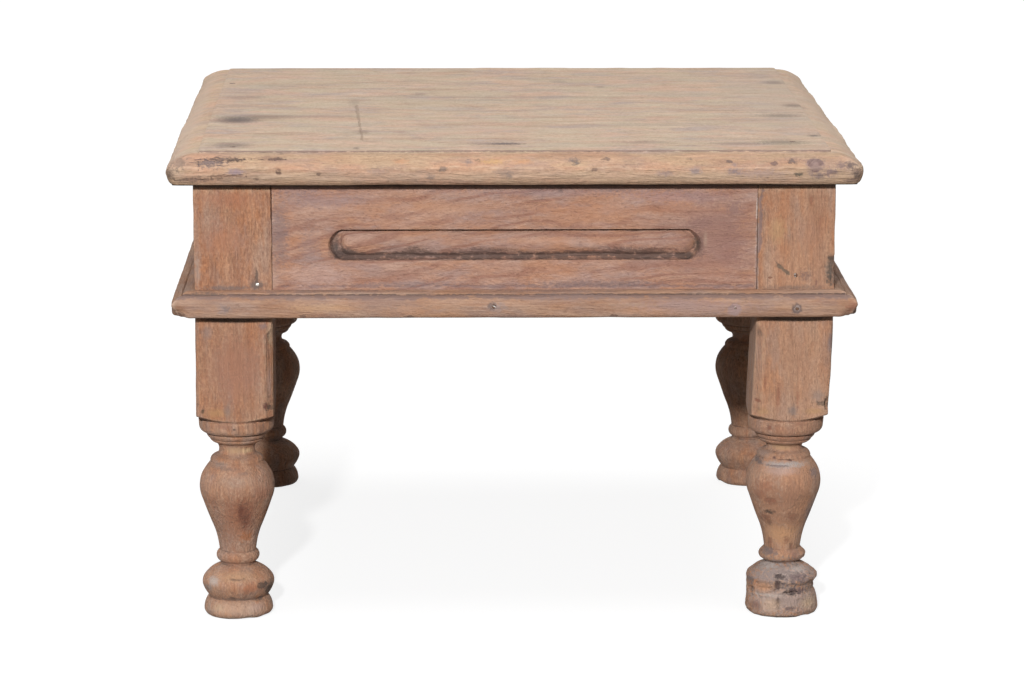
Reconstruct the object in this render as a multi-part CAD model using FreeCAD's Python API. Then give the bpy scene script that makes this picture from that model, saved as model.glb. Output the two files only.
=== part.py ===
import FreeCAD, Part

import math
import os

from FreeCAD import Vector

# A low square table of old teak on four turned legs.
# Millimetres. +X is to the right, +Y to the back, +Z up.
# The origin is on the floor, under the middle of the top.

# The whole table
top_width = 460.0
top_depth = 460.0
top_thickness = 21.0
leg_length = 300.0
overhang = 17.0

# Moulded edge of the top: a shallow step, a falling border and a rounded nose
border_width = 20.5
border_step = 1.8
top_corner_radius = 9.0
border_shoulder_shares = (0.463, 0.190)
nose_top_shares = (0.054, 0.429)
nose_middle_share = 0.619
nose_bottom_shares = (0.054, 0.809)
nose_heel_shares = (0.122, 0.943)
underside_start_share = 0.268

# Joint between the two boards of the top
front_board_width = 194.0
tongue_depth = 7.0
tongue_thickness = 7.0
tongue_side_clearance = 0.2
tongue_end_clearance = 1.0

# Legs: a square post above a turned lower part
post_width = 52.0
turned_length = 139.0
shoulder_rise = 6.4
shoulder_overrun = 3.0

# The turning, from the floor up. Each row is the end of a stretch, and where the stretch is
# round, a point on its way. Heights are shares of turned_length and radii of half post_width.
foot_rim_shares = (0.0, 0.892)
turning_shares = (
    ((0.032, 0.935), (0.093, 0.835)),
    ((0.162, 0.950), (0.214, 0.823)),
    ((0.254, 0.481),),
    ((0.294, 0.608), (0.333, 0.496)),
    ((0.417, 0.592), (0.507, 0.777)),
    ((0.568, 0.892), (0.637, 0.965)),
    ((0.698, 0.931), (0.745, 0.746)),
    ((0.786, 0.631),),
    ((0.807, 0.535), (0.829, 0.496)),
    ((0.868, 0.692),),
    ((0.879, 0.735), (0.888, 0.746)),
    ((0.918, 0.923),),
    ((0.930, 0.977), (0.944, 0.988)),
    ((0.980, 0.985),),
    ((0.993, 0.938),),
)

# Aprons, flush with the posts and tenoned into them
apron_thickness = 20.0
apron_height = 89.0
tenon_thickness = 9.0
tenon_setback = 6.5
tenon_end_wall = 20.0
tenon_shoulder = 8.0
mortise_side_clearance = 0.15
mortise_end_clearance = 1.0

# The long channel carved in each apron, and the half-round reed left standing in it
channel_width = 20.7
channel_depth = 5.0
channel_end_inset = 37.0
channel_centre_height = 46.6
reed_width = 15.8
reed_rise = 4.2
reed_end_gap = 6.5
reed_corner_radius = 5.0

# Mitred moulding round the foot of the aprons
moulding_height = 17.0
moulding_projection = 15.0
moulding_corner_radius = 3.0
moulding_wall_share = 0.03
# Rows as in the turning: outward shares of moulding_projection, downward of moulding_height
moulding_shares = (
    ((0.240, 0.000), (0.480, 0.094)),
    ((0.507, 0.165),),
    ((0.547, 0.112),),
    ((0.853, 0.182), (1.000, 0.376)),
    ((1.000, 0.800),),
    ((0.953, 0.941), (0.827, 1.000)),
)

# Iron nails that hold the top down, in the middle of the posts and side aprons. Their places
# are shares of the half depth of the frame, from its middle
top_nail_length = 45.0
top_nail_diameter = 2.6
top_nail_head_diameter = 5.0
top_nail_head_thickness = 1.2
top_nails_left_shares = (-0.906, -0.338, 0.573)
top_nails_right_shares = (-0.817, -0.005, 0.573)

# Iron pins through each post and the two tenons in it
pin_length = 30.0
pin_diameter = 3.0
pin_head_diameter = 4.2
pin_head_thickness = 1.0
# Places along the tenon from its end, and up from the foot of the apron
pin_place_shares = (0.69, 0.227)
front_right_pin_shares = (0.19, 0.290)
side_pin_shares = (0.69, 0.530)

# Iron nails through the moulding
moulding_nail_length = 30.0
moulding_nail_diameter = 2.5
moulding_nail_head_diameter = 4.2
moulding_nail_head_thickness = 0.8
# Places along the half length of the frame's side, and down the moulding
front_moulding_nail_shares = ((-0.900, 0.647), (-0.066, 0.530), (0.684, 0.647), (0.877, 0.647))
other_moulding_nail_shares = ((-0.880, 0.647), (-0.300, 0.647), (0.300, 0.647), (0.880, 0.647))

# Round wooden plug let into the nose of the top, near the front right corner
plug_diameter = 11.6
plug_depth = 9.0
plug_place_share = 0.858
plug_tilt_degrees = 40.0
plug_aim_shares = (0.15, 0.33)

# Every cutting solid runs this far past the face that it opens
overrun = 2.0

frame_width = top_width - 2 * overhang
frame_depth = top_depth - 2 * overhang
top_height = leg_length + top_thickness
apron_bottom = leg_length - apron_height
moulding_top = apron_bottom + moulding_height
half_post = post_width / 2
tenon_length = post_width - tenon_end_wall

# A piece for one side is drawn at the front, centred on X with its outer face at Y = 0 and
# facing -Y, and then turned to its side.
side_names = ("front", "right", "back", "left")
corner_names = ("front_left", "front_right", "back_left", "back_right")


def side_turn(side):
    """How far a piece drawn for the front turns about Z, in degrees."""
    return side_names.index(side) * 360 / len(side_names)


def side_length(side):
    """The frame's length along one side."""
    return frame_width if side in ("front", "back") else frame_depth


def side_distance(side):
    """From the middle of the table out to the frame's face on one side."""
    return frame_depth / 2 if side in ("front", "back") else frame_width / 2


def corner_sides(corner):
    """The two sides that meet at a corner: front or back, then left or right."""
    return corner.split("_")


def corner_signs(corner):
    """The signs of a corner's X and Y."""
    face_side, flank_side = corner_sides(corner)
    return (1 if flank_side == "right" else -1), (1 if face_side == "back" else -1)


def box(x_span, y_span, z_span):
    """A block between pairs of values, in any order."""
    low = Vector(min(x_span), min(y_span), min(z_span))
    high = Vector(max(x_span), max(y_span), max(z_span))
    size = high - low
    return Part.makeBox(size.x, size.y, size.z, low)


def union(shapes):
    """One shape from several."""
    whole = shapes[0]
    for shape in shapes[1:]:
        whole = whole.fuse(shape)
    return whole.removeSplitter()


def outline_face(start, stretches):
    """A flat face: from start along straight and round stretches, closed by a straight line."""
    edges = []
    here = start
    for stretch in stretches:
        end = stretch[-1]
        if len(stretch) == 2:
            edges.append(Part.Arc(here, stretch[0], end).toShape())
        else:
            edges.append(Part.LineSegment(here, end).toShape())
        here = end
    edges.append(Part.LineSegment(here, start).toShape())
    return Part.Face(Part.Wire(edges))


def place_on_side(shape, side, extra_distance=0.0):
    """Turn a piece drawn for the front and move it out to its side of the table."""
    placed = shape.copy()
    placed.translate(Vector(0, -(side_distance(side) + extra_distance), 0))
    placed.rotate(Vector(0, 0, 0), Vector(0, 0, 1), side_turn(side))
    return placed


def rounded_plan(width, depth, radius, z_span):
    """An upright block about the origin with its four upright edges rounded."""
    block = box((-width / 2, width / 2), (-depth / 2, depth / 2), z_span)
    upright = [edge for edge in block.Edges if edge.BoundBox.XLength + edge.BoundBox.YLength < radius]
    return block.makeFillet(radius, upright)


def nail(head_centre, direction, length, diameter, head_diameter, head_thickness):
    """A round nail or pin whose flat head is flush at head_centre, driven along direction."""
    shank = Part.makeCylinder(diameter / 2, length, head_centre, direction)
    head = Part.makeCylinder(head_diameter / 2, head_thickness, head_centre, direction)
    return shank.fuse(head).removeSplitter()


# The top

def top_edge_run(length, reach):
    """The slab as seen from one side: the moulded edge at the front, run along X."""
    def at(inset_share, drop_share):
        inset = inset_share * border_width
        drop = drop_share * top_thickness
        return Vector(-length / 2, inset, top_height - drop)

    field_edge = Vector(-length / 2, border_width, top_height)
    stretches = (
        (Vector(-length / 2, border_width, top_height - border_step),),
        (at(*border_shoulder_shares), at(*nose_top_shares)),
        (at(0, nose_middle_share), at(*nose_bottom_shares)),
        (at(*nose_heel_shares), at(underside_start_share, 1)),
        (Vector(-length / 2, reach, leg_length),),
        (Vector(-length / 2, reach, top_height),),
    )
    return outline_face(field_edge, stretches).extrude(Vector(length, 0, 0))


def moulded_slab():
    """The whole top before it is parted: four moulded edges that meet at mitres."""
    slab = rounded_plan(top_width, top_depth, top_corner_radius, (leg_length, top_height))
    across = max(top_width, top_depth)
    for side in side_names:
        run = place_on_side(top_edge_run(across, across), side, overhang)
        slab = slab.common(run)
    return slab.removeSplitter()


def joint_block(side_clearance, end_clearance):
    """The space of the front board, its tongue enlarged by the clearances."""
    front_edge = -top_depth / 2
    joint = front_edge + front_board_width
    middle = leg_length + top_thickness / 2
    half_tongue = tongue_thickness / 2 + side_clearance
    across = (-top_width / 2 - overrun, top_width / 2 + overrun)
    body = box(across, (front_edge - overrun, joint), (leg_length - overrun, top_height + overrun))
    tongue_span = (joint - tongue_depth, joint + tongue_depth + end_clearance)
    tongue = box(across, tongue_span, (middle - half_tongue, middle + half_tongue))
    return body.fuse(tongue)


def plug_cylinder():
    """The round plug's space, driven into the nose from above and in front."""
    tilt = math.radians(plug_tilt_degrees)
    inward = Vector(0, math.cos(tilt), -math.sin(tilt))
    inset_share, drop_share = plug_aim_shares
    aim = Vector(
        plug_place_share * top_width / 2,
        -top_depth / 2 + inset_share * border_width,
        top_height - drop_share * top_thickness,
    )
    start = aim - inward * border_width
    return Part.makeCylinder(plug_diameter / 2, border_width + plug_depth, start, inward)


def top_nails(side_sign, along_shares):
    """The nails of one side of the top, down into the posts and the side apron."""
    nails = []
    for along_share in along_shares:
        along = along_share * frame_depth / 2
        in_post = abs(along) > frame_depth / 2 - post_width
        across = half_post if in_post else apron_thickness / 2
        head = Vector(side_sign * (frame_width / 2 - across), along, top_height)
        nails.append(nail(head, Vector(0, 0, -1), top_nail_length, top_nail_diameter,
                          top_nail_head_diameter, top_nail_head_thickness))
    return nails


# The frame

def apron(side):
    """One apron: a panel with a tenon at each end and a reeded channel in its face."""
    length = side_length(side)
    half_panel = length / 2 - post_width
    panel = box((-half_panel, half_panel), (0, apron_thickness), (apron_bottom, leg_length))
    tenons = tenon_block(length, 0, 0)
    centre = apron_bottom + channel_centre_height
    half_channel = half_panel - channel_end_inset
    channel = stadium(half_channel, channel_width / 2, centre, channel_depth)
    reed = apron_reed(half_channel - reed_end_gap, centre)
    return union([panel, tenons]).cut(channel.cut(reed)).removeSplitter()


def tenon_block(length, side_clearance, end_clearance):
    """One bar that holds both tenons of an apron, enlarged by the clearances."""
    reach = length / 2 - tenon_end_wall + end_clearance
    y_span = (tenon_setback - side_clearance, tenon_setback + tenon_thickness + side_clearance)
    low = apron_bottom + tenon_shoulder - side_clearance
    high = leg_length - tenon_shoulder + side_clearance
    return box((-reach, reach), y_span, (low, high))


def stadium(half_length, radius, centre_height, depth):
    """A flat-bottomed slot with round ends, sunk into the front face."""
    straight = half_length - radius
    middle = box((-straight, straight), (-overrun, depth), (centre_height - radius, centre_height + radius))
    ends = []
    for sign in (-1, 1):
        base = Vector(sign * straight, -overrun, centre_height)
        ends.append(Part.makeCylinder(radius, depth + overrun, base, Vector(0, 1, 0)))
    return union([middle] + ends)


def apron_reed(half_length, centre_height):
    """The half-round bar in the channel, with rounded corners at its ends."""
    crown = Vector(-half_length, channel_depth - reed_rise, centre_height)
    low = Vector(-half_length, channel_depth, centre_height - reed_width / 2)
    high = Vector(-half_length, channel_depth, centre_height + reed_width / 2)
    bar = outline_face(low, ((crown, high),)).extrude(Vector(2 * half_length, 0, 0))
    height_span = (centre_height - reed_width / 2, centre_height + reed_width / 2)
    block = box((-half_length, half_length), (-overrun, channel_depth), height_span)
    through = [edge for edge in block.Edges if edge.BoundBox.YLength > channel_depth]
    return bar.common(block.makeFillet(reed_corner_radius, through))


def turned_solid():
    """The turning as a solid of revolution, wide enough above it to hold the square post."""
    def at(height_share, radius_share):
        return Vector(radius_share * half_post, 0, height_share * turned_length)

    stretches = [(at(*foot_rim_shares),)]
    for row in turning_shares:
        stretches.append(tuple(at(*point) for point in row))
    half_diagonal = math.hypot(half_post, half_post)
    corner_radius = half_diagonal + shoulder_overrun
    slope = shoulder_rise / (half_diagonal - half_post)
    rim_height = turned_length + slope * (corner_radius - half_post)
    stretches.append((Vector(half_post, 0, turned_length),))
    stretches.append((Vector(corner_radius, 0, rim_height),))
    stretches.append((Vector(corner_radius, 0, leg_length),))
    stretches.append((Vector(0, 0, leg_length),))
    return outline_face(Vector(0, 0, 0), stretches).revolve(Vector(0, 0, 0), Vector(0, 0, 1), 360)


def leg(corner):
    """One leg: the square post trimmed by the turning, with a mortise for each apron."""
    sign_x, sign_y = corner_signs(corner)
    post = box((-half_post, half_post), (-half_post, half_post), (0, leg_length))
    shape = post.common(turned_solid())
    shape.translate(Vector(sign_x * (frame_width / 2 - half_post), sign_y * (frame_depth / 2 - half_post), 0))
    for side in corner_sides(corner):
        mortise = tenon_block(side_length(side), mortise_side_clearance, mortise_end_clearance)
        shape = shape.cut(place_on_side(mortise, side))
    return shape


def along_sign(side, corner):
    """Which end of a side, drawn for the front, lies at this corner."""
    sign_x, sign_y = corner_signs(corner)
    return {"front": sign_x, "back": -sign_x, "right": sign_y, "left": -sign_y}[side]


def tenon_pins(corner):
    """The two iron pins of a corner, one driven from each outer face of the post."""
    face_side, flank_side = corner_sides(corner)
    face_shares = front_right_pin_shares if corner == "front_right" else pin_place_shares
    pins = []
    for side, place_shares in ((face_side, face_shares), (flank_side, side_pin_shares)):
        along_share, up_share = place_shares
        along = side_length(side) / 2 - tenon_end_wall - along_share * tenon_length
        head = Vector(along_sign(side, corner) * along, 0, apron_bottom + up_share * apron_height)
        pin = nail(head, Vector(0, 1, 0), pin_length, pin_diameter, pin_head_diameter, pin_head_thickness)
        pins.append(place_on_side(pin, side))
    return pins


# The moulding

def moulding(side):
    """One strip of the moulding, mitred at both ends where it meets its neighbours."""
    length = side_length(side)
    half_outer = length / 2 + moulding_projection

    def at(out_share, down_share):
        out = out_share * moulding_projection
        down = down_share * moulding_height
        return Vector(-half_outer, -out, moulding_top - down)

    stretches = [tuple(at(*point) for point in row) for row in moulding_shares]
    stretches.append((at(0, 1),))
    strip = outline_face(at(0, moulding_wall_share), stretches).extrude(Vector(2 * half_outer, 0, 0))
    mitred_plan = Part.makePolygon([
        Vector(-half_outer, -moulding_projection, apron_bottom),
        Vector(half_outer, -moulding_projection, apron_bottom),
        Vector(length / 2, 0, apron_bottom),
        Vector(-length / 2, 0, apron_bottom),
        Vector(-half_outer, -moulding_projection, apron_bottom),
    ])
    strip = strip.common(Part.Face(mitred_plan).extrude(Vector(0, 0, moulding_height)))
    plan = rounded_plan(frame_width + 2 * moulding_projection, frame_depth + 2 * moulding_projection,
                        moulding_corner_radius, (apron_bottom, moulding_top))
    return place_on_side(strip, side).common(plan)


def moulding_nails(side):
    """The nails of one strip, through it into the posts and the apron behind."""
    length = side_length(side)
    places = front_moulding_nail_shares if side == "front" else other_moulding_nail_shares
    nails = []
    for along_share, down_share in places:
        height = moulding_top - down_share * moulding_height
        head = Vector(along_share * length / 2, -moulding_projection, height)
        shape = nail(head, Vector(0, 1, 0), moulding_nail_length, moulding_nail_diameter,
                     moulding_nail_head_diameter, moulding_nail_head_thickness)
        nails.append(place_on_side(shape, side))
    return nails


def bored(shape, fasteners):
    """A piece with a fitting hole for each fastener that reaches it."""
    for fastener in fasteners:
        if fastener.BoundBox.intersect(shape.BoundBox):
            shape = shape.cut(fastener)
    return shape


def build():
    """All pieces of the table by name."""
    nails_left = top_nails(-1, top_nails_left_shares)
    nails_right = top_nails(1, top_nails_right_shares)
    pins = {corner: tenon_pins(corner) for corner in corner_names}
    strip_nails = {side: moulding_nails(side) for side in side_names}
    fasteners = nails_left + nails_right
    for group in list(pins.values()) + list(strip_nails.values()):
        fasteners = fasteners + group

    slab = moulded_slab()
    plug_space = plug_cylinder()
    front_board = slab.common(joint_block(0, 0)).cut(plug_space)
    back_board = slab.cut(joint_block(tongue_side_clearance, tongue_end_clearance))

    nodes = {
        "top_board_front": bored(front_board, fasteners),
        "top_board_back": bored(back_board, fasteners),
        "edge_plug": slab.common(plug_space),
        "top_nails_left": Part.makeCompound(nails_left),
        "top_nails_right": Part.makeCompound(nails_right),
    }
    for corner in corner_names:
        nodes["leg_" + corner] = bored(leg(corner), fasteners)
        nodes["tenon_pins_" + corner] = Part.makeCompound(pins[corner])
    for side in side_names:
        nodes["apron_" + side] = bored(place_on_side(apron(side), side), fasteners)
        nodes["moulding_" + side] = bored(moulding(side), fasteners)
        nodes["moulding_nails_" + side] = Part.makeCompound(strip_nails[side])
    return nodes


os.makedirs("parts", exist_ok=True)
for name, shape in build().items():
    shape.exportStep("parts/" + name + ".step")
    print(name, len(shape.Solids), "solid(s)", shape.isValid(), round(shape.Volume))
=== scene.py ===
import math

import bmesh
import bpy
import numpy as np
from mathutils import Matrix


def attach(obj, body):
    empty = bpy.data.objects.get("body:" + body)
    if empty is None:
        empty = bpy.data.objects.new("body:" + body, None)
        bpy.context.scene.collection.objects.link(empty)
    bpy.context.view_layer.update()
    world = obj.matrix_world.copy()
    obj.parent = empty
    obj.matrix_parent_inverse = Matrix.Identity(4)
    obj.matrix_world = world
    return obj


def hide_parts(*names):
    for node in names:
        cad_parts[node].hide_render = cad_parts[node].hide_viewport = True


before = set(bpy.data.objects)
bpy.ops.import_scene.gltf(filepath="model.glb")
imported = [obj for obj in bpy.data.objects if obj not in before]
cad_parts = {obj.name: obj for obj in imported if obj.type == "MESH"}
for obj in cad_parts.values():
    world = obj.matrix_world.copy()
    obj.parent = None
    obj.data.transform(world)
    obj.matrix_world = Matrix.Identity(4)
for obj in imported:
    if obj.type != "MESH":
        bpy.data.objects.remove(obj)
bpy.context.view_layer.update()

# The four legs
# Each is one length of old teak: a square post that the aprons are tenoned into, and below it a
# turning of rings, a vase and a foot. Hands and floors have rounded their edges and bruised them.

leg_length = 0.300
frame_half = 0.213
post_width = 0.052
half_post = post_width / 2
leg_offset = frame_half - half_post
turned_length = 0.1374
shoulder_rise = 0.0046
shoulder_slope = shoulder_rise / (math.hypot(half_post, half_post) - half_post)
post_arris_low = 0.0028
post_arris_high = 0.0008
chamfer_width = 0.0052
chamfer_stop = 0.2045
shoulder_top = 0.147
shoulder_blend = 0.0006
fine_row = 0.0005
post_row = 0.0022
columns_a_side = 36
corner_crowding = 1.7
outline_step = 0.00045
weld_distance = 0.00001
moulding_low = 0.211
moulding_high = 0.228

foot_rim = (0.0, 0.0219)
turning = (
    ((0.0010, 0.0230), (0.0045, 0.0237)), ((0.0085, 0.0227), (0.0116, 0.0209)), ((0.0123, 0.0200),),
    ((0.0131, 0.0206),), ((0.0170, 0.0232), (0.0205, 0.0246)), ((0.0236, 0.0246), (0.0262, 0.0234)),
    ((0.0302, 0.0196), (0.0332, 0.0142)), ((0.0346, 0.0119),), ((0.0360, 0.0121),),
    ((0.0366, 0.0132),), ((0.0401, 0.0149), (0.0435, 0.0134)), ((0.0441, 0.0125),),
    ((0.0455, 0.0127),), ((0.0530, 0.0140), (0.0627, 0.0173)), ((0.0710, 0.0206), (0.0800, 0.0238)),
    ((0.0890, 0.0256), (0.0970, 0.0241)), ((0.1012, 0.0217), (0.1044, 0.0193)), ((0.1056, 0.0182),),
    ((0.1062, 0.0180),), ((0.1068, 0.0184),), ((0.1088, 0.0174), (0.1108, 0.0142)),
    ((0.1114, 0.0130),), ((0.1150, 0.0123), (0.1186, 0.0138)), ((0.1192, 0.0144),),
    ((0.1197, 0.0164),), ((0.1207, 0.0176), (0.1217, 0.0183)), ((0.1221, 0.0176),),
    ((0.1226, 0.0189),), ((0.1241, 0.0201), (0.1257, 0.0207)), ((0.1262, 0.0198),),
    ((0.1267, 0.0220),), ((0.1283, 0.0246), (0.1310, 0.0255)), ((0.1356, 0.0258),),
    ((0.1364, 0.0246),),
)
# Each leg was turned by hand: its beads sit a little higher or lower, and it leans a little.
lift_heights = (0.035, 0.075, 0.110, 0.119, 0.128, 0.1374)
lift_parts = (0.0, 1.0, 1.0, -0.35, -0.40, 0.0)
bead_lift = {"front_left": 0.0, "front_right": 0.0025, "back_left": 0.0012, "back_right": 0.0016}
leg_lean = {"front_left": -0.0002, "front_right": -0.0038, "back_left": 0.0045, "back_right": 0.0035}
corners = {"front_left": (-1, -1), "front_right": (1, -1), "back_left": (-1, 1), "back_right": (1, 1)}


def round_stretch(start, middle, end, count):
    """Points along the arc through three places, without its start."""
    (ax, ay), (bx, by), (cx, cy) = start, middle, end
    d = 2 * (ax * (by - cy) + bx * (cy - ay) + cx * (ay - by))
    squares = [x * x + y * y for x, y in (start, middle, end)]
    ox = (squares[0] * (by - cy) + squares[1] * (cy - ay) + squares[2] * (ay - by)) / d
    oy = (squares[0] * (cx - bx) + squares[1] * (ax - cx) + squares[2] * (bx - ax)) / d
    radius = math.hypot(ax - ox, ay - oy)
    angles = [math.atan2(y - oy, x - ox) for x, y in (start, middle, end)]
    full = (angles[2] - angles[0]) % math.tau
    if (angles[1] - angles[0]) % math.tau > full:
        full -= math.tau
    steps = [angles[0] + full * i / count for i in range(1, count + 1)]
    return [(ox + radius * math.cos(a), oy + radius * math.sin(a)) for a in steps]


def drawn_outline(start, stretches, step):
    """Close-set points along an outline of straight and round stretches."""
    line = [start]
    for stretch in stretches:
        here, end = line[-1], stretch[-1]
        count = max(2, round(math.dist(here, end) / step))
        if len(stretch) == 2:
            line += round_stretch(here, stretch[0], end, count)
        else:
            line += [(here[0] + (end[0] - here[0]) * i / count, here[1] + (end[1] - here[1]) * i / count)
                     for i in range(1, count + 1)]
    return np.array(line)


def rubbed(line, passes):
    """An outline whose sharp turns have been rubbed down; its ends stay."""
    line = line.copy()
    for _ in range(passes):
        line[1:-1] = 0.25 * line[:-2] + 0.5 * line[1:-1] + 0.25 * line[2:]
    return line


def cloud(points, cell, seed):
    """Smooth random values from -1 to 1 at places in space. They change over about one cell."""
    lattice = np.random.default_rng(seed).uniform(-1, 1, (32, 32, 32))
    cells = points / np.asarray(cell)
    base = np.floor(cells).astype(int)
    part = cells - base
    part = part * part * (3 - 2 * part)
    total = np.zeros(points.shape[:-1])
    for corner in np.ndindex(2, 2, 2):
        share = np.prod(np.where(corner, part, 1 - part), axis=-1)
        i, j, k = np.moveaxis((base + corner) % 32, -1, 0)
        total += share * lattice[i, j, k]
    return total


def uneven(points, depth, cell, seed):
    """Wear of about a depth, which changes over each cell."""
    return depth * (1 + cloud(points, cell, seed))


def ease(value, low, high):
    """From 0 at low to 1 at high, with a soft start and end."""
    t = np.clip((value - low) / (high - low), 0, 1)
    return t * t * (3 - 2 * t)


def bruise(points, centre, reach, depth, seed):
    """How deep a knock at centre presses each place, with a torn rim."""
    away = np.linalg.norm((points - np.array(centre)) / np.array(reach), axis=-1)
    away = away + 0.25 * cloud(points, min(reach) * 0.7, seed)
    return depth * (1 - ease(away, 0.35, 1.0))


def in_scene(name, data):
    """A new object, linked into the scene."""
    made = bpy.data.objects.new(name, data)
    bpy.context.scene.collection.objects.link(made)
    return made


def meshed(name, places, faces):
    """A smooth piece from places and faces, welded and with its faces outward."""
    mesh = bpy.data.meshes.new(name)
    mesh.from_pydata(places.tolist(), [], faces)
    work = bmesh.new()
    work.from_mesh(mesh)
    bmesh.ops.remove_doubles(work, verts=work.verts, dist=weld_distance)
    bmesh.ops.recalc_face_normals(work, faces=work.faces)
    work.to_mesh(mesh)
    work.free()
    mesh.polygons.foreach_set("use_smooth", np.ones(len(mesh.polygons), bool))
    return in_scene(name, mesh)


def loop_faces(count, around, start=0):
    """The faces between loops of places that are numbered from start."""
    i, j = np.meshgrid(np.arange(count - 1), np.arange(around), indexing="ij")
    k = (j + 1) % around
    faces = np.stack([i * around + j, i * around + k, (i + 1) * around + k, (i + 1) * around + j], -1)
    return (start + faces.reshape(-1, 4)).tolist()


def skin(name, rows, capped=True):
    """A mesh over rows of places, each row a loop round the piece. Capped, its ends are filled."""
    count, around = rows.shape[:2]
    places = rows.reshape(-1, 3)
    faces = loop_faces(count, around)
    if capped:
        middle = len(places)
        places = np.vstack([places, rows[0].mean(0), rows[-1].mean(0)])
        last = (count - 1) * around
        faces += [[middle, (n + 1) % around, n] for n in range(around)]
        faces += [[middle + 1, last + n, last + (n + 1) % around] for n in range(around)]
    return meshed(name, places, faces)


def note_wear(piece, worn_range, hollow_range, passes=8, kept=None):
    """Write down how far each place stands proud of those round it (worn) or below them (hollow)."""
    mesh = piece.data
    count = len(mesh.vertices)
    places, normals = np.empty((2, count * 3))
    mesh.vertices.foreach_get("co", places)
    mesh.vertices.foreach_get("normal", normals)
    places, normals = places.reshape(-1, 3), normals.reshape(-1, 3)
    ends = np.empty(len(mesh.edges) * 2, int)
    mesh.edges.foreach_get("vertices", ends)
    a, b = ends.reshape(-1, 2).T
    neighbours = np.maximum(np.bincount(a, minlength=count) + np.bincount(b, minlength=count), 1)
    smooth = places.copy()
    for _ in range(passes):
        for axis in range(3):
            near = np.bincount(a, smooth[b, axis], count) + np.bincount(b, smooth[a, axis], count)
            smooth[:, axis] = near / neighbours
    proud = np.einsum("ij,ij->i", places - smooth, normals)
    if kept:
        proud = proud * kept(places)
    for word, value, reach in (("worn", proud, worn_range), ("hollow", -proud, hollow_range)):
        mesh.attributes.new(word, "FLOAT", "POINT").data.foreach_set("value", ease(value, *reach))


def fitted(piece, material, slot, *nodes):
    """Fasten a finished piece to the table in place of its CAD nodes."""
    piece.data.materials.append(material)
    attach(piece, "root")
    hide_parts(*nodes)


def put(tree, kind, *values, **settings):
    """Add a node with its settings, and feed its inputs in order with values or other outputs."""
    made = tree.nodes.new("ShaderNode" + kind)
    for key, value in settings.items():
        setattr(made, key, value)
    for socket, value in zip(made.inputs, values):
        if isinstance(value, bpy.types.NodeSocket):
            tree.links.new(value, socket)
        elif value is not None:
            socket.default_value = value
    return made


def sum_up(tree, operation, *values):
    """One step of arithmetic with numbers."""
    return put(tree, "Math", *values, operation=operation).outputs[0]


def times(tree, first, second):
    """Two numbers multiplied."""
    return sum_up(tree, "MULTIPLY", first, second)


def arrow(tree, operation, *values):
    """One step of arithmetic with places. LENGTH and DOT_PRODUCT give a number."""
    made = put(tree, "VectorMath", *values, operation=operation).outputs
    return made["Value" if operation in ("LENGTH", "DOT_PRODUCT") else "Vector"]


def scaled(tree, place, factor):
    """A place scaled by the number that another node gives."""
    made = put(tree, "VectorMath", place, operation="SCALE")
    tree.links.new(factor, made.inputs["Scale"])
    return made.outputs["Vector"]


def spread(tree, value, low, high, to_low=0.0, to_high=1.0):
    """Stretch a value's range softly."""
    return put(tree, "MapRange", value, low, high, to_low, to_high,
               interpolation_type="SMOOTHSTEP").outputs[0]


def noise(tree, place, scale, detail, roughness=0.5, given="Fac"):
    """Noise at a place. The scale is one number, or one along each axis."""
    if isinstance(scale, tuple):
        place, scale = arrow(tree, "MULTIPLY", place, scale), 1.0
    return put(tree, "TexNoise", place, None, scale, detail, roughness).outputs[given]


def swayed(tree, place, scale, amount):
    """A place pushed about by noise."""
    push = arrow(tree, "SUBTRACT", noise(tree, place, scale, 3.0, given="Color"), (0.5, 0.5, 0.5))
    return arrow(tree, "ADD", place, scaled(tree, push, amount))


def tinted(tree, share, under, over, how="MIX"):
    """Lay one colour over another."""
    made = put(tree, "Mix", share, data_type="RGBA", blend_type=how)
    for socket, value in ((made.inputs[6], under), (made.inputs[7], over)):
        if isinstance(value, bpy.types.NodeSocket):
            tree.links.new(value, socket)
        else:
            socket.default_value = (*value, 1)
    return made.outputs[2]


def new_group(name, taken, given):
    """An empty node group with named sockets. Returns it with its inputs and its output node."""
    group = bpy.data.node_groups.new(name, "ShaderNodeTree")
    for sockets, way in ((taken, "INPUT"), (given, "OUTPUT")):
        for word, kind in sockets.items():
            group.interface.new_socket(word, in_out=way, socket_type="NodeSocket" + kind)
    return group, group.nodes.new("NodeGroupInput").outputs, group.nodes.new("NodeGroupOutput").inputs


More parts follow.
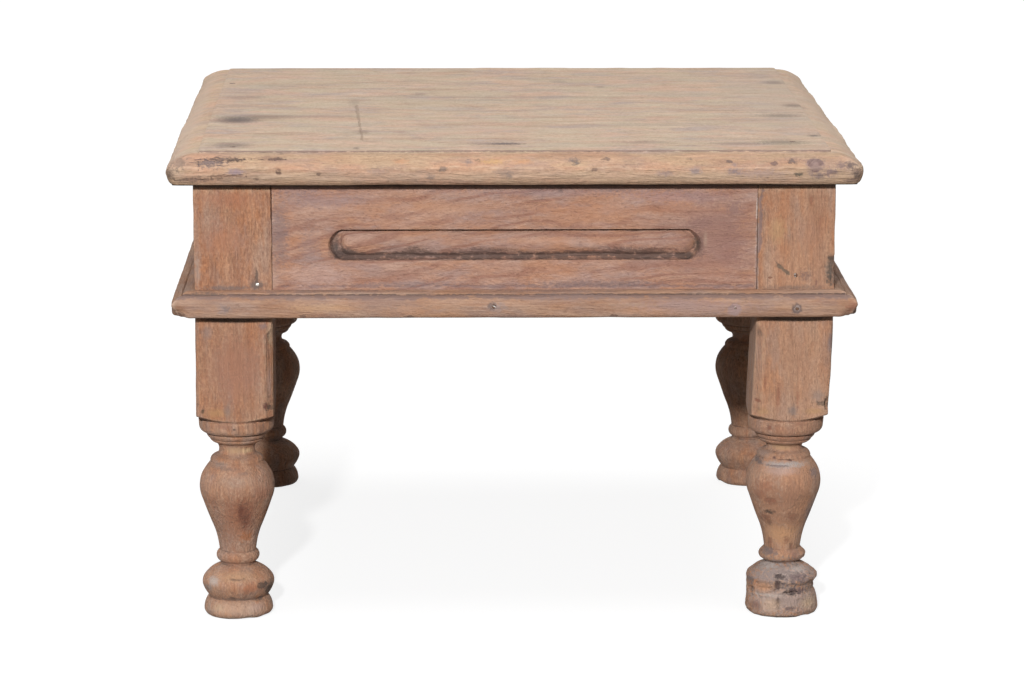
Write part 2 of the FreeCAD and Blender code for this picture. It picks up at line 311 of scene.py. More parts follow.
def grain_group():
    """Teak grain along X: growth rings that come and go, streaks, fibres, pores, mottling, saw marks."""
    group, taken, given = new_group(
        "teak grain", {"Place": "Vector", "Ring Width": "Float", "Waviness": "Float"},
        {word: "Float" for word in ("Rings", "Bands", "Fibres", "Pores", "Mottle", "Sawn")})
    place = swayed(group, taken["Place"], (7, 30, 30), taken["Waviness"])
    across = arrow(group, "MULTIPLY", place, (0, 1, 1))
    turns = sum_up(group, "DIVIDE", arrow(group, "LENGTH", across), taken["Ring Width"])
    turns = sum_up(group, "ADD", turns, times(group, noise(group, across, (0, 60, 60), 1.0), 3.0))
    late = spread(group, sum_up(group, "SINE", times(group, turns, math.tau)), 0.1, 1.0)
    strong = spread(group, noise(group, place, (12, 70, 70), 2.0), 0.34, 0.58)
    group.links.new(times(group, late, strong), given["Rings"])
    looks = (("Bands", place, (7, 150, 150), 3.0, 0.62, 0.33, 0.67),
             ("Fibres", place, (40, 800, 800), 3.0, 0.65, 0.33, 0.67),
             ("Pores", place, (130, 1300, 1300), 1.0, 0.5, 0.62, 0.72),
             ("Mottle", taken["Place"], (380, 760, 760), 4.0, 0.7, 0.3, 0.7))
    for word, where, scale, detail, roughness, low, high in looks:
        look = noise(group, where, scale, detail, roughness)
        group.links.new(spread(group, look, low, high), given[word])
    sawn = spread(group, noise(group, taken["Place"], (900, 80, 80), 3.0, 0.7), 0.36, 0.64)
    in_patches = spread(group, noise(group, taken["Place"], (60, 90, 90), 2.0), 0.35, 0.65, 0.3, 1.0)
    group.links.new(times(group, sawn, in_patches), given["Sawn"])
    return group


def spot_group():
    """A spot at one place with a ragged rim, for stains, bruises and painted shadows."""
    group, taken, given = new_group(
        "spot", {"Place": "Vector", "Centre": "Vector", "Reach": "Vector", "Ragged": "Float",
                 "Firm": "Float"}, {"Mask": "Float"})
    away = arrow(group, "SUBTRACT", taken["Place"], taken["Centre"])
    away = arrow(group, "LENGTH", arrow(group, "DIVIDE", away, taken["Reach"]))
    torn = sum_up(group, "SUBTRACT", noise(group, taken["Place"], 480.0, 4.0, 0.7), 0.5)
    away = sum_up(group, "ADD", away, times(group, torn, taken["Ragged"]))
    group.links.new(spread(group, away, 1.0, taken["Firm"]), given["Mask"])
    return group


def line_group():
    """A line from one place to another, uneven along its way: scratches, cracks, seams and lines of
    painted shade.
    """
    group, taken, given = new_group(
        "line", {"Place": "Vector", "Start": "Vector", "End": "Vector", "Width": "Float",
                 "Ragged": "Float"}, {"Mask": "Float"})
    place = swayed(group, taken["Place"], 90.0, times(group, taken["Ragged"], taken["Width"]))
    run = arrow(group, "SUBTRACT", taken["End"], taken["Start"])
    here = arrow(group, "SUBTRACT", place, taken["Start"])
    whole = arrow(group, "DOT_PRODUCT", run, run)
    share = sum_up(group, "DIVIDE", arrow(group, "DOT_PRODUCT", here, run), whole)
    foot = scaled(group, run, put(group, "Clamp", share).outputs[0])
    away = arrow(group, "LENGTH", arrow(group, "SUBTRACT", here, foot))
    patchy = spread(group, noise(group, taken["Place"], 260.0, 2.0), 0.25, 0.6, 0.35, 1.0)
    away = sum_up(group, "DIVIDE", away, times(group, taken["Width"], patchy))
    group.links.new(spread(group, away, 1.0, 0.4), given["Mask"])
    return group


def patina_group():
    """The greyed, the reddened and the bleached patches of a dry old surface."""
    group, taken, given = new_group(
        "patina",
        {"Place": "Vector", "Wood": "Color", "Grey": "Color", "Warm": "Color", "Bleached": "Color",
         "Greyed": "Float", "Warmed": "Float", "Bleaching": "Float"},
        {"Color": "Color"})
    colour = taken["Wood"]
    looks = (("Grey", "Greyed", (0.0, 0.0, 0.0), (22, 80, 80)),
             ("Warm", "Warmed", (3.1, 5.3, 7.7), (26, 85, 85)),
             ("Bleached", "Bleaching", (9.2, 1.4, 4.6), (18, 100, 100)))
    for tint, amount, shift, scale in looks:
        patch = noise(group, arrow(group, "ADD", taken["Place"], shift), scale, 5.0, 0.65)
        patch = times(group, spread(group, patch, 0.42, 0.62), taken[amount])
        colour = tinted(group, patch, colour, taken[tint])
    group.links.new(colour, given["Color"])
    return group


def edge_group():
    """Pale rubbed edges, partly painted highlights where edges catch the light, and dirt in the hollows,
    both broken up.
    """
    group, taken, given = new_group(
        "rubbed edges with painted highlights",
        {"Place": "Vector", "Wood": "Color", "Worn": "Float", "Hollow": "Float", "Pale": "Color",
         "Dirt": "Color", "Rubbing": "Float", "Dirtiness": "Float"},
        {"Color": "Color", "Rubbed": "Float"})
    broken = noise(group, taken["Place"], 210.0, 4.0, 0.7)
    rubbed_and_highlit_mask = times(group, taken["Worn"], spread(group, broken, 0.36, 0.62))
    rubbed_and_highlit_mask = times(group, rubbed_and_highlit_mask, taken["Rubbing"])
    dirty = times(group, taken["Hollow"], spread(group, broken, 0.72, 0.35, 0.35, 1.0))
    dirty = times(group, dirty, taken["Dirtiness"])
    colour = tinted(group, rubbed_and_highlit_mask, taken["Wood"], taken["Pale"])
    group.links.new(tinted(group, dirty, colour, taken["Dirt"]), given["Color"])
    group.links.new(rubbed_and_highlit_mask, given["Rubbed"])
    return group


teak_grain = grain_group()
teak_spot = spot_group()
teak_line = line_group()
teak_patina = patina_group()
teak_edges = edge_group()
grain_order = {"X": (0, 1, 2), "Y": (1, 0, 2), "Z": (2, 1, 0)}


def grouped(tree, group, **inputs):
    """Place a node group with its own values."""
    made = tree.nodes.new("ShaderNodeGroup")
    made.node_tree = group
    for word, value in inputs.items():
        socket = made.inputs[word.replace("_", " ")]
        if isinstance(value, bpy.types.NodeSocket):
            tree.links.new(value, socket)
        else:
            socket.default_value = (*value, 1) if socket.type == "RGBA" else value
    return made.outputs


def new_material(name):
    """A material, with its node tree and its shader."""
    material = bpy.data.materials.new(name)
    material.use_nodes = True
    return material, material.node_tree, material.node_tree.nodes["Principled BSDF"]


def bumped(tree, shader, height, distance):
    """Let a height that changes over the surface bend the shader's normal."""
    bump = put(tree, "Bump")
    bump.inputs["Distance"].default_value = distance
    tree.links.new(height, bump.inputs["Height"])
    tree.links.new(bump.outputs[0], shader.inputs["Normal"])


pore_share = 0.35
pore_shade = 0.55
pore_sink = 0.4
level_blur = 0.0008
front_blur = 0.002
sawn_blur = 0.001
dirt_share = 0.9


def teak(name, runs, pith, tilt, pale, dark, grey, warm, bleached, ring_width, waviness, rings=0.35,
         bands=0.4, fibres=0.35, mottle=0.3, sawn=0.0, sawn_above=0.0, greyed=0.4, warmed=0.4,
         bleaching=0.3, rubbing_and_highlight=0.8, relief=0.0003, edge_pale_and_highlight=None, lower=None, broad=1.0, dust=0.0,
         marks=()):
    """Old teak. The grain runs along one axis, and the marks are spots and lines at their own places.
    Below a level the wood may have other tints, one in front and one elsewhere. Broad widens streaks."""
    material, tree, shader = new_material(name)
    place = put(tree, "TexCoord").outputs["Object"]
    apart = put(tree, "SeparateXYZ", place).outputs
    order = grain_order[runs]
    along = put(tree, "CombineXYZ", *(apart[axis] for axis in order)).outputs[0]
    along = put(tree, "Mapping", along, tuple(pith[axis] for axis in order), tilt, (1.0, broad, 1.0),
                vector_type="TEXTURE").outputs[0]
    grain = grouped(tree, teak_grain, Place=along, Ring_Width=ring_width, Waviness=waviness)

    colour = tinted(tree, times(tree, grain["Bands"], bands), pale, dark)
    colour = grouped(tree, teak_patina, Place=along, Wood=colour, Grey=grey, Warm=warm,
                     Bleached=bleached, Greyed=greyed, Warmed=warmed, Bleaching=bleaching)["Color"]
    colour = tinted(tree, times(tree, grain["Rings"], rings), colour, dark)
    if lower:
        level, front, front_tint, side_tint = lower
        below = spread(tree, apart[2], level + level_blur, level - level_blur)
        in_front = spread(tree, apart[1], front + front_blur, front - front_blur)
        tint = tinted(tree, in_front, side_tint, front_tint)
        colour = tinted(tree, below, colour, tint, "MULTIPLY")
    for look, amount, shade in (("Fibres", fibres, fibre_shade), ("Mottle", mottle, mottle_shade)):
        colour = tinted(tree, times(tree, grain[look], amount), colour, shade, "MULTIPLY")
    darker = tuple(pore_shade * value for value in dark)
    colour = tinted(tree, times(tree, grain["Pores"], pore_share), colour, darker)
    if sawn:
        rough_part = spread(tree, apart[2], sawn_above - sawn_blur, sawn_above + sawn_blur, 0.0, sawn)
        rough_sawn = times(tree, grain["Sawn"], rough_part)
        colour = tinted(tree, rough_sawn, colour, sawn_shade, "MULTIPLY")
    # Proud places are painted pale: rubbed wear, and partly a painted highlight where edges catch the
    # light.
    worn, hollow = (put(tree, "Attribute", attribute_name=word).outputs["Fac"]
                    for word in ("worn", "hollow"))
    rubbed_and_highlight_pale = edge_pale_and_highlight or tuple(min(1, 1.2 * value) for value in pale)
    edges = grouped(tree, teak_edges, Place=place, Wood=colour, Worn=worn, Hollow=hollow,
                    Pale=rubbed_and_highlight_pale, Dirt=soot, Rubbing=rubbing_and_highlight, Dirtiness=dirt_share)
    colour = edges["Color"]
    sunk = times(tree, grain["Pores"], pore_sink)
    for kind, start, size, tint, strength, depth, ragged, firm in marks:
        if kind == "spot":
            mask = grouped(tree, teak_spot, Place=place, Centre=start, Reach=size, Ragged=ragged,
                           Firm=firm)["Mask"]
        else:
            mask = grouped(tree, teak_line, Place=place, Start=start, End=size[:3], Width=size[3],
                           Ragged=ragged)["Mask"]
        colour = tinted(tree, times(tree, mask, strength), colour, tint)
        if depth:
            sunk = sum_up(tree, "ADD", sunk, times(tree, mask, depth))
    tree.links.new(colour, shader.inputs["Base Color"])

    rough = spread(tree, noise(tree, place, 60.0, 3.0), 0.3, 0.7, 0.72, 0.9)
    rough = sum_up(tree, "SUBTRACT", rough, times(tree, edges["Rubbed"], 0.12))
    tree.links.new(rough, shader.inputs["Roughness"])
    for socket, value in (("Specular IOR Level", 0.3), ("Sheen Weight", dust), ("Sheen Roughness", 0.6),
                          ("Sheen Tint", (0.95, 0.82, 0.72, 1))):
        shader.inputs[socket].default_value = value
    ridges = times(tree, grain["Fibres"], -0.7)
    for look, amount in (("Bands", -0.8), ("Mottle", -0.6)):
        ridges = sum_up(tree, "ADD", ridges, times(tree, grain[look], amount))
    if sawn:
        ridges = sum_up(tree, "SUBTRACT", ridges, rough_sawn)
    bumped(tree, shader, sum_up(tree, "SUBTRACT", ridges, sunk), relief)
    return material


def metres(millimetres):
    """Millimetres as metres."""
    return tuple(value / 1000 for value in millimetres)


def spot(centre, reach, tint, strength=0.8, depth=0.0, ragged=1.8, firm=0.55):
    """A spot for a material's list of marks, in millimetres. Depth is how far the bump sinks it."""
    return ("spot", metres(centre), metres(reach), tint, strength, depth, ragged, firm)


def haze(centre, reach, tint, strength=0.5, ragged=1.2):
    """A soft patch with no rim, for a material's list of marks, in millimetres: stains, painted shade
    and painted light.
    """
    return spot(centre, reach, tint, strength, 0.0, ragged, 0.15)


def line(start, end, width, tint, strength=0.8, depth=1.5, ragged=1.5):
    """A line for a material's list of marks, in millimetres."""
    return ("line", metres(start), metres((*end, width)), tint, strength, depth, ragged, 0.0)


white = (1.0, 1.0, 1.0)
soot = (0.075, 0.045, 0.032)
iron_stain = (0.085, 0.070, 0.068)
fibre_shade = (0.62, 0.54, 0.50)
mottle_shade = (0.66, 0.60, 0.58)
sawn_shade = (0.70, 0.62, 0.58)

# A patch on the front right foot widens its pad, fills its waist, most on the left, and thickens its
# collar. That foot is also eaten away more than the others.
pad_patch = 0.0013
waist_height = 0.0130
waist_filled = 0.0233
waist_filled_left = 0.0012
waist_lift = 0.0055
collar_height = 0.0390
collar_patch = 0.0016
foot_damage = 0.0004
shoulder_end = ((turned_length, half_post),)
leg_profile = rubbed(drawn_outline(foot_rim, turning + (shoulder_end,), outline_step), 1)
# Knocks on each leg: where, how far they reach, and how deep they are.
knocks = {
    "front_left": (
        ((-0.2135, -0.2135, 0.149), (0.003, 0.003, 0.005), 0.0012),
        ((-0.162, -0.212, 0.147), (0.005, 0.004, 0.004), 0.0014),
        ((-0.196, -0.212, 0.127), (0.008, 0.006, 0.0015), 0.0007),
    ),
    "front_right": (
        ((0.2135, -0.2135, 0.2395), (0.0045, 0.0045, 0.0115), 0.0026),
        ((0.2105, -0.2135, 0.248), (0.003, 0.004, 0.002), 0.0016),
        ((0.2135, -0.2135, 0.1475), (0.006, 0.006, 0.0085), 0.0046),
        ((0.161, -0.213, 0.144), (0.004, 0.004, 0.004), 0.001),
        ((0.1797, -0.2079, 0.0281), (0.0042, 0.006, 0.002), 0.0024),
        ((0.1916, -0.2074, 0.0262), (0.01, 0.007, 0.0024), 0.0016),
        ((0.1784, -0.2108, 0.0222), (0.0016, 0.006, 0.005), 0.0022),
        ((0.1888, -0.2095, 0.0167), (0.006, 0.006, 0.0018), 0.0028),
        ((0.179, -0.2105, 0.009), (0.0013, 0.006, 0.006), 0.0024),
        ((0.16, -0.1964, 0.017), (0.006, 0.006, 0.003), 0.0016),
    ),
    "back_left": (
        ((-0.165, 0.165, 0.018), (0.006, 0.006, 0.006), 0.0015),
    ),
    "back_right": (
        ((0.2, 0.163, 0.006), (0.006, 0.006, 0.005), 0.0015),
    ),
}


def leg_rows(corner, seed):
    """The loops round one leg from the floor up, with the lean and the wear of that leg."""
    sign_x, sign_y = corners[corner]
    u = np.linspace(-1, 1, columns_a_side + 1)[:-1]
    bearing = np.radians(45 * np.sign(u) * (1 - (1 - np.abs(u)) ** corner_crowding))
    angle = np.concatenate([bearing + side * math.pi / 2 for side in range(4)])
    bearing = np.abs(np.tile(bearing, 4))[None, :]
    heights = np.concatenate([
        leg_profile[:, 0], np.arange(turned_length + fine_row, shoulder_top, fine_row),
        np.arange(shoulder_top + fine_row, leg_length, post_row), [leg_length]])
    cone = half_post + (heights - turned_length) / shoulder_slope
    turned = np.where(heights <= turned_length,
                      np.interp(heights, leg_profile[:, 0], leg_profile[:, 1]), cone)[:, None]
    upper = ease(heights, moulding_low, moulding_high)[:, None]
    arris = post_arris_low + (post_arris_high - post_arris_low) * upper
    inner = half_post - arris
    reach = inner * (np.cos(bearing) + np.sin(bearing))
    rounded = reach + np.sqrt(np.maximum(reach ** 2 - 2 * inner ** 2 + arris ** 2, 0))
    square = np.where(half_post * np.tan(bearing) <= inner, half_post / np.cos(bearing), rounded)
    if sign_y < 0:
        cut = chamfer_width * ease(heights, chamfer_stop, chamfer_stop - 0.008)[:, None]
        inward = np.cos(angle - math.atan2(-1, -sign_x))[None]
        square = np.minimum(square, (half_post * 2 - cut) / math.sqrt(2) / np.maximum(inward, 0.1))
    near = np.clip(0.5 + 0.5 * (square - turned) / shoulder_blend, 0, 1)
    radius = square * (1 - near) + turned * near - shoulder_blend * near * (1 - near)
    radius = np.where(heights[:, None] <= turned_length, turned, radius)

    heights = np.broadcast_to(heights[:, None], radius.shape)
    lifted = heights + bead_lift[corner] * np.interp(heights, lift_heights, lift_parts)
    if corner == "front_right":
        radius = radius + pad_patch * ease(heights, 0.013, 0.009)
        filled = waist_filled - waist_filled_left * np.cos(angle)[None]
        waist = ease(np.abs(heights - waist_height), 0.0140, 0.0080)
        radius = radius + np.maximum(filled - radius, 0) * waist
        radius = radius + collar_patch * ease(np.abs(heights - collar_height), 0.0042, 0.0012)
        lifted = lifted + waist_lift * ease(heights, 0.001, 0.012) * ease(heights, 0.032, 0.013)
    direction = np.stack([np.cos(angle), np.sin(angle), np.zeros_like(angle)], -1)[None]
    axis = np.array([sign_x * leg_offset, sign_y * leg_offset, 0])
    lean = leg_lean[corner] * ease(heights, moulding_low, 0.09)
    places = axis + direction * radius[..., None] + lifted[..., None] * np.array([0, 0, 1.0])
    places = places + lean[..., None] * np.array([1.0, 0, 0])
    corner_part = ease(np.degrees(bearing), 36, 44) * (heights > turned_length + 0.004)
    wear = uneven(places, 0.00022, (0.02, 0.02, 0.05), seed)
    wear += 0.00010 * cloud(places, (0.004, 0.004, 0.012), seed + 1)
    wear += corner_part * 0.0005 * np.clip(cloud(places, (0.02, 0.02, 0.009), seed + 2), 0, 1)
    low = ease(heights, 0.050, 0.034)
    wear += low * uneven(places, 0.00015, 0.012, seed + 3)
    if corner == "front_right":
        eaten = 1 - np.abs(cloud(places, (0.011, 0.011, 0.0035), seed + 4))
        wear += low * foot_damage * (0.1 + 0.9 * eaten ** 6)
        wear += low * 0.0005 * np.clip(cloud(places, (0.012, 0.012, 0.0045), seed + 5), -0.6, 1)
        wear += low * 0.0003 * cloud(places, 0.0022, seed + 8)
    for centre, reach, depth in knocks[corner]:
        wear += bruise(places, centre, reach, depth, seed + 6)
    places = places - direction * wear[..., None]
    sole = ease(heights, 0.004, 0.0)
    places[..., 2] += sole * 0.0009 * np.clip(cloud(places, 0.009, seed + 7), 0, 1)
    return places


leg_marks = (
    spot((-165.6, -213.3, 148.2), (2.8, 4, 3.2), (0.13, 0.035, 0.025), 0.85, 0.8, 2.0),
    spot((-162.5, -212.5, 146.9), (3.4, 6, 2.8), soot, 0.85, 0.8, 2.0),
    spot((-208.3, -213.3, 145.1), (1.3, 4, 1.9), (0.09, 0.055, 0.03), 0.85, 0.8, 1.8),
    haze((-199, -213.3, 144), (12, 6, 4.2), (0.46, 0.25, 0.115), 0.65),
    haze((-192, -213.3, 145.4), (4.2, 6, 5.5), (0.24, 0.17, 0.145), 0.65),
    haze((-204.6, -213.3, 198.5), (5, 6, 7), (0.3, 0.23, 0.21), 0.5),
    haze((-167.6, -213.3, 202.9), (4.2, 6, 3.4), (0.21, 0.155, 0.155), 0.65),
    haze((-162.2, -211.5, 196.8), (3, 8, 14), (0.54, 0.37, 0.24), 0.75),
    haze((-163.6, -212.5, 165.1), (2.8, 8, 17), (0.42, 0.29, 0.25), 0.55),
    haze((-186, -213.3, 172), (17, 6, 28), (0.41, 0.19, 0.12), 0.5),
    haze((-195.9, -211.3, 134.3), (8, 8, 3), (0.35, 0.16, 0.1), 0.55),
    spot((-187.6, -212.5, 132.3), (1.1, 6, 0.9), soot, 0.7, 0.5, 1.6),
    haze((-187, -200, 115), (13, 12, 3.4), (0.52, 0.33, 0.19), 0.75),
    haze((-179.5, -197.5, 114.5), (6, 10, 2.6), (0.6, 0.42, 0.24), 0.75),
    haze((-198, -201.7, 106), (9, 12, 3.4), (0.32, 0.245, 0.21), 0.65),
    haze((-193.4, -204.3, 103.6), (13, 12, 1.8), (0.21, 0.135, 0.11), 0.6, 2.0),
    haze((-182.1, -207.3, 101), (7, 10, 1.5), (0.24, 0.16, 0.13), 0.6, 2.0),
    haze((-186.4, -210.7, 96), (15, 12, 6.4), (0.44, 0.33, 0.26), 0.5),
    spot((-187, -210, 70), (28, 30, 34), (0.31, 0.14, 0.08), 0.42, 0.2, 5.0, 0.3),
    haze((-186, -213.3, 175), (30, 6, 36), (0.37, 0.175, 0.11), 0.7, 1.8),
    haze((-182.5, -210, 73.5), (19, 20, 18.5), (0.3, 0.115, 0.062), 0.8),
    haze((-181.2, -207, 70), (6.8, 20, 15), (0.18, 0.06, 0.032), 0.72, 2.4),
    haze((-203.8, -204.2, 80.9), (8.5, 10, 8.5), (0.35, 0.15, 0.08), 0.62),
    haze((-168.9, -204.2, 86.6), (7.5, 10, 7.5), (0.35, 0.145, 0.085), 0.6),
    haze((-186.5, -204, 60), (18, 16, 10), (0.37, 0.165, 0.095), 0.6),
    spot((-184, -209, 75.1), (3.4, 12, 10), (0.125, 0.032, 0.015), 0.85, 0.3, 1.8, 0.0),
    spot((-181.2, -204.2, 66.2), (3, 12, 9), (0.15, 0.045, 0.02), 0.7, 0.3, 1.8, 0.0),
    haze((-181.2, -200.7, 55.6), (6.5, 10, 6), (0.42, 0.15, 0.055), 0.8, 1.6),
    haze((-187, -206, 29), (20, 14, 5), (0.5, 0.3, 0.17), 0.5),
    haze((-203.4, -203.7, 25.7), (6.5, 10, 5.2), (0.47, 0.4, 0.36), 0.8),
    haze((-207, -201.1, 20.3), (5, 10, 4.2), (0.29, 0.24, 0.22), 0.65),
    haze((-178.4, -209.6, 21.5), (12, 12, 4.8), (0.4, 0.155, 0.078), 0.8, 1.6),
    spot((-165.5, -199.6, 20.6), (5.2, 12, 6.6), (0.075, 0.052, 0.04), 0.92, 0.6, 2.0, 0.0),
    spot((-170, -203, 22.6), (4.6, 10, 2.8), soot, 0.85, 0.8, 2.2),
    spot((-165.5, -198.5, 16.5), (3.8, 10, 3.8), soot, 0.85, 0.6, 2.2),
    spot((-187, -208.6, 27.6), (7, 10, 0.8), soot, 0.55, 0.5, 3.0, 0.2),
    spot((-187, -205, 13.4), (25, 16, 1.6), (0.15, 0.09, 0.07), 0.75, 0.0, 2.0, 0.3),
    spot((-189.8, -209.6, 14.6), (3.4, 8, 1.4), soot, 0.75, 0.6, 2.2),
    spot((-172.1, -203, 12.8), (3.6, 10, 1.9), soot, 0.8, 0.6, 2.2),
    haze((-204.9, -202.9, 3.8), (4.4, 10, 2.6), (0.25, 0.15, 0.11), 0.7, 1.8),
    haze((-187.6, -210.5, 4.2), (7, 10, 2), (0.23, 0.115, 0.085), 0.7, 2.0),
    haze((-174.3, -205.6, 7.5), (8.5, 10, 4.2), (0.41, 0.27, 0.24), 0.6),
    haze((-200, -208, 7.5), (6.5, 10, 3.6), (0.5, 0.34, 0.2), 0.6),
    spot((-186, -211, 0.4), (26, 22, 1.1), soot, 0.7, 0.0, 1.6, 0.2),
    spot((205.5, -213.3, 149.3), (4.2, 4, 1.8), (0.09, 0.065, 0.05), 0.9, 1.2, 2.2),
    haze((187, -210, 170), (50, 50, 240), (0.6, 0.36, 0.235), 0.26, 1.0),
    haze((-187, -208, 6.6), (34, 30, 8.5), (0.57, 0.39, 0.285), 0.5, 1.6),
    haze((212, -213.3, 150), (5, 8, 7.5), (0.24, 0.165, 0.13), 0.55, 2.0),
    haze((182, -210, 64), (30, 30, 42), (0.53, 0.305, 0.18), 0.42, 2.8),
    spot((179, -210, 74), (28, 30, 30), (0.31, 0.13, 0.07), 0.5, 0.2, 5.0, 0.3),
    spot((185, -210, 125), (30, 40, 13), (0.27, 0.115, 0.07), 0.5, 0.2, 5.0, 0.3),
    haze((203.5, -213.3, 154.5), (6.5, 4, 6), (0.29, 0.215, 0.185), 0.55, 1.6),
    haze((201, -213.3, 144), (9.5, 6, 3.2), (0.45, 0.26, 0.13), 0.7),
    haze((166, -213.3, 144), (8.5, 6, 3.2), (0.45, 0.26, 0.13), 0.6),
    haze((186.7, -213.3, 144.2), (4.8, 6, 6.2), (0.23, 0.175, 0.155), 0.75, 1.6),
    spot((162.1, -213, 151.5), (3.4, 5, 1.8), (0.25, 0.085, 0.045), 0.8, 0.5, 2.0),
    spot((176.6, -213.3, 155), (2.2, 5, 14), (0.27, 0.105, 0.06), 0.7, 0.3, 2.0, 0.1),
    spot((189.6, -213.3, 153), (1.6, 5, 10), (0.27, 0.105, 0.06), 0.6, 0.3, 2.0, 0.1),
    spot((167.6, -213.3, 164), (1.4, 5, 9), (0.27, 0.105, 0.06), 0.6, 0.3, 2.0, 0.1),
    haze((211, -212.5, 191.1), (2.6, 6, 10), (0.21, 0.155, 0.15), 0.8, 1.6),
    spot((171.2, -209.2, 132.1), (1.6, 8, 2.2), (0.22, 0.085, 0.05), 0.75, 0.4, 2.0),
    haze((192.9, -210.7, 135.3), (6, 10, 3.4), (0.35, 0.17, 0.105), 0.55, 1.6),
    haze((180, -201, 116.5), (14, 14, 3.6), (0.53, 0.34, 0.19), 0.75),
    haze((168, -199, 112), (7, 10, 4), (0.33, 0.24, 0.21), 0.6, 1.6),
    line((175.5, -203.1, 109.6), (187, -205, 108.2), 1.2, (0.15, 0.065, 0.05), 0.9, 1.2, 1.4),
    haze((182, -205.9, 105.6), (23, 14, 3), (0.46, 0.4, 0.375), 0.9, 1.6),
    spot((165.5, -194, 106.5), (4.4, 10, 2.8), (0.13, 0.1, 0.1), 0.8, 0.8, 3.0, 0.2),
    spot((178, -205.9, 105), (10, 10, 0.8), (0.19, 0.14, 0.14), 0.75, 1.0, 2.6),
    haze((180, -208.5, 102), (17, 14, 4), (0.5, 0.34, 0.29), 0.65),
    spot((202.4, -200.8, 98.9), (4.2, 10, 4), (0.2, 0.14, 0.14), 0.7, 0.6, 2.4, 0.3),
    # Greyish dark haze down the right side of the front right vase: painted shade.
    haze((200, -195, 72), (6, 12, 18), (0.27, 0.195, 0.19), 0.65, 1.6),
    haze((168.6, -207.7, 91.5), (10, 12, 6.6), (0.34, 0.145, 0.08), 0.75, 1.8),
    haze((165.6, -204.2, 85.2), (7, 12, 5.6), (0.33, 0.135, 0.075), 0.7, 1.8),
    haze((172.7, -208, 81.1), (7, 12, 4.2), (0.27, 0.105, 0.058), 0.8, 1.8),
    haze((186.9, -211.5, 86), (10, 14, 15), (0.35, 0.175, 0.11), 0.6, 1.8),
    spot((172.8, -205, 72.6), (4.8, 12, 2.1), (0.08, 0.048, 0.03), 0.92, 1.0, 2.6, 0.2),
    haze((170.2, -200.2, 67.6), (7.2, 12, 4.6), (0.22, 0.085, 0.042), 0.85, 1.8),
    spot((173.3, -201.1, 63.9), (2.8, 12, 2.7), (0.13, 0.055, 0.03), 0.8, 0.5, 2.6, 0.2),
    haze((187.7, -205.5, 69), (6.4, 12, 5.2), (0.24, 0.105, 0.06), 0.8, 1.8),
    haze((180, -203, 56), (20, 20, 11), (0.6, 0.32, 0.165), 0.75),
    spot((174.2, -196.5, 50), (2.2, 12, 5), (0.22, 0.08, 0.045), 0.65, 0.4, 2.6, 0.1),
    spot((185.1, -200.5, 51.8), (2.8, 12, 3.8), (0.23, 0.09, 0.05), 0.65, 0.4, 2.6, 0.1),
    spot((188.2, -198.6, 46.7), (1.8, 12, 4.4), (0.18, 0.08, 0.05), 0.7, 0.4, 2.4, 0.1),
    haze((173.2, -196.1, 43.1), (8.6, 12, 3.4), (0.15, 0.115, 0.115), 0.85, 1.8),
    haze((190.5, -199.3, 41.2), (5, 12, 5), (0.24, 0.125, 0.095), 0.7, 1.8),
    spot((177, -197, 36.2), (11, 16, 1.3), soot, 0.85, 0.8, 2.0),
    haze((182, -208, 30), (38, 34, 10.5), (0.52, 0.425, 0.392), 0.92, 2.6),
    haze((182, -208, 13), (38, 34, 15), (0.54, 0.425, 0.375), 0.85, 2.6),
    spot((178, -208, 29), (28, 34, 12), (0.25, 0.185, 0.17), 0.75, 0.6, 4.6, 0.1),
    spot((188, -208, 12), (28, 34, 12), (0.27, 0.185, 0.16), 0.65, 0.6, 4.6, 0.0),
    haze((172.3, -194.7, 33.5), (12, 14, 3.6), (0.52, 0.45, 0.42), 0.75, 2.0),
    haze((192.5, -197.8, 31.2), (10, 14, 4), (0.5, 0.43, 0.4), 0.65, 2.0),
    haze((160, -196.4, 24), (6, 12, 4.4), (0.19, 0.15, 0.15), 0.75, 2.0),
    spot((179.7, -207.9, 28.1), (4.6, 10, 2.4), (0.08, 0.055, 0.055), 0.92, 0.8, 3.0, 0.3),
    spot((193, -207.4, 26.8), (12, 14, 4.4), (0.21, 0.145, 0.14), 0.85, 0.6, 3.6, 0.2),
    spot((178.4, -210.8, 22.5), (2.6, 10, 5.4), (0.13, 0.07, 0.06), 0.9, 0.8, 3.0, 0.3),
    haze((169.1, -207.7, 20.5), (9.8, 12, 5.6), (0.56, 0.29, 0.165), 0.92, 1.6),
    spot((188.8, -209.5, 17.1), (6.6, 10, 2.4), (0.08, 0.05, 0.05), 0.92, 0.8, 3.2, 0.3),
    haze((194.1, -207.5, 18.3), (9, 10, 2.4), (0.16, 0.1, 0.1), 0.85, 2.2),
    spot((179, -210.5, 9.8), (1.2, 14, 6.2), (0.12, 0.08, 0.075), 0.92, 1.0, 2.2, 0.3),
    haze((164.7, -201.9, 7.3), (5.4, 12, 4.8), (0.25, 0.135, 0.105), 0.85, 2.0),
    haze((174.9, -208.4, 8.8), (9, 12, 6), (0.6, 0.41, 0.29), 0.75, 1.6),
    haze((199.4, -201.3, 9), (10, 14, 5.8), (0.58, 0.41, 0.27), 0.75, 1.6),
    spot((186.7, -209.5, 6.6), (5.6, 10, 1.8), (0.17, 0.11, 0.1), 0.85, 0.6, 2.4, 0.3),
    spot((172, -207, 15.2), (13, 14, 1.3), (0.6, 0.49, 0.43), 0.75, 0.0, 2.4, 0.3),
    spot((183, -206, 0.6), (30, 24, 1.3), soot, 0.85, 0.0, 1.6, 0.2),
    line((175.5, -213.3, 243), (182.2, -213.3, 237.9), 1.9, (0.14, 0.105, 0.075), 0.85, 1.2, 1.2),
    line((172.3, -213.3, 248.1), (175.5, -213.3, 243), 0.9, (0.2, 0.13, 0.09), 0.8, 0.8, 1.4),
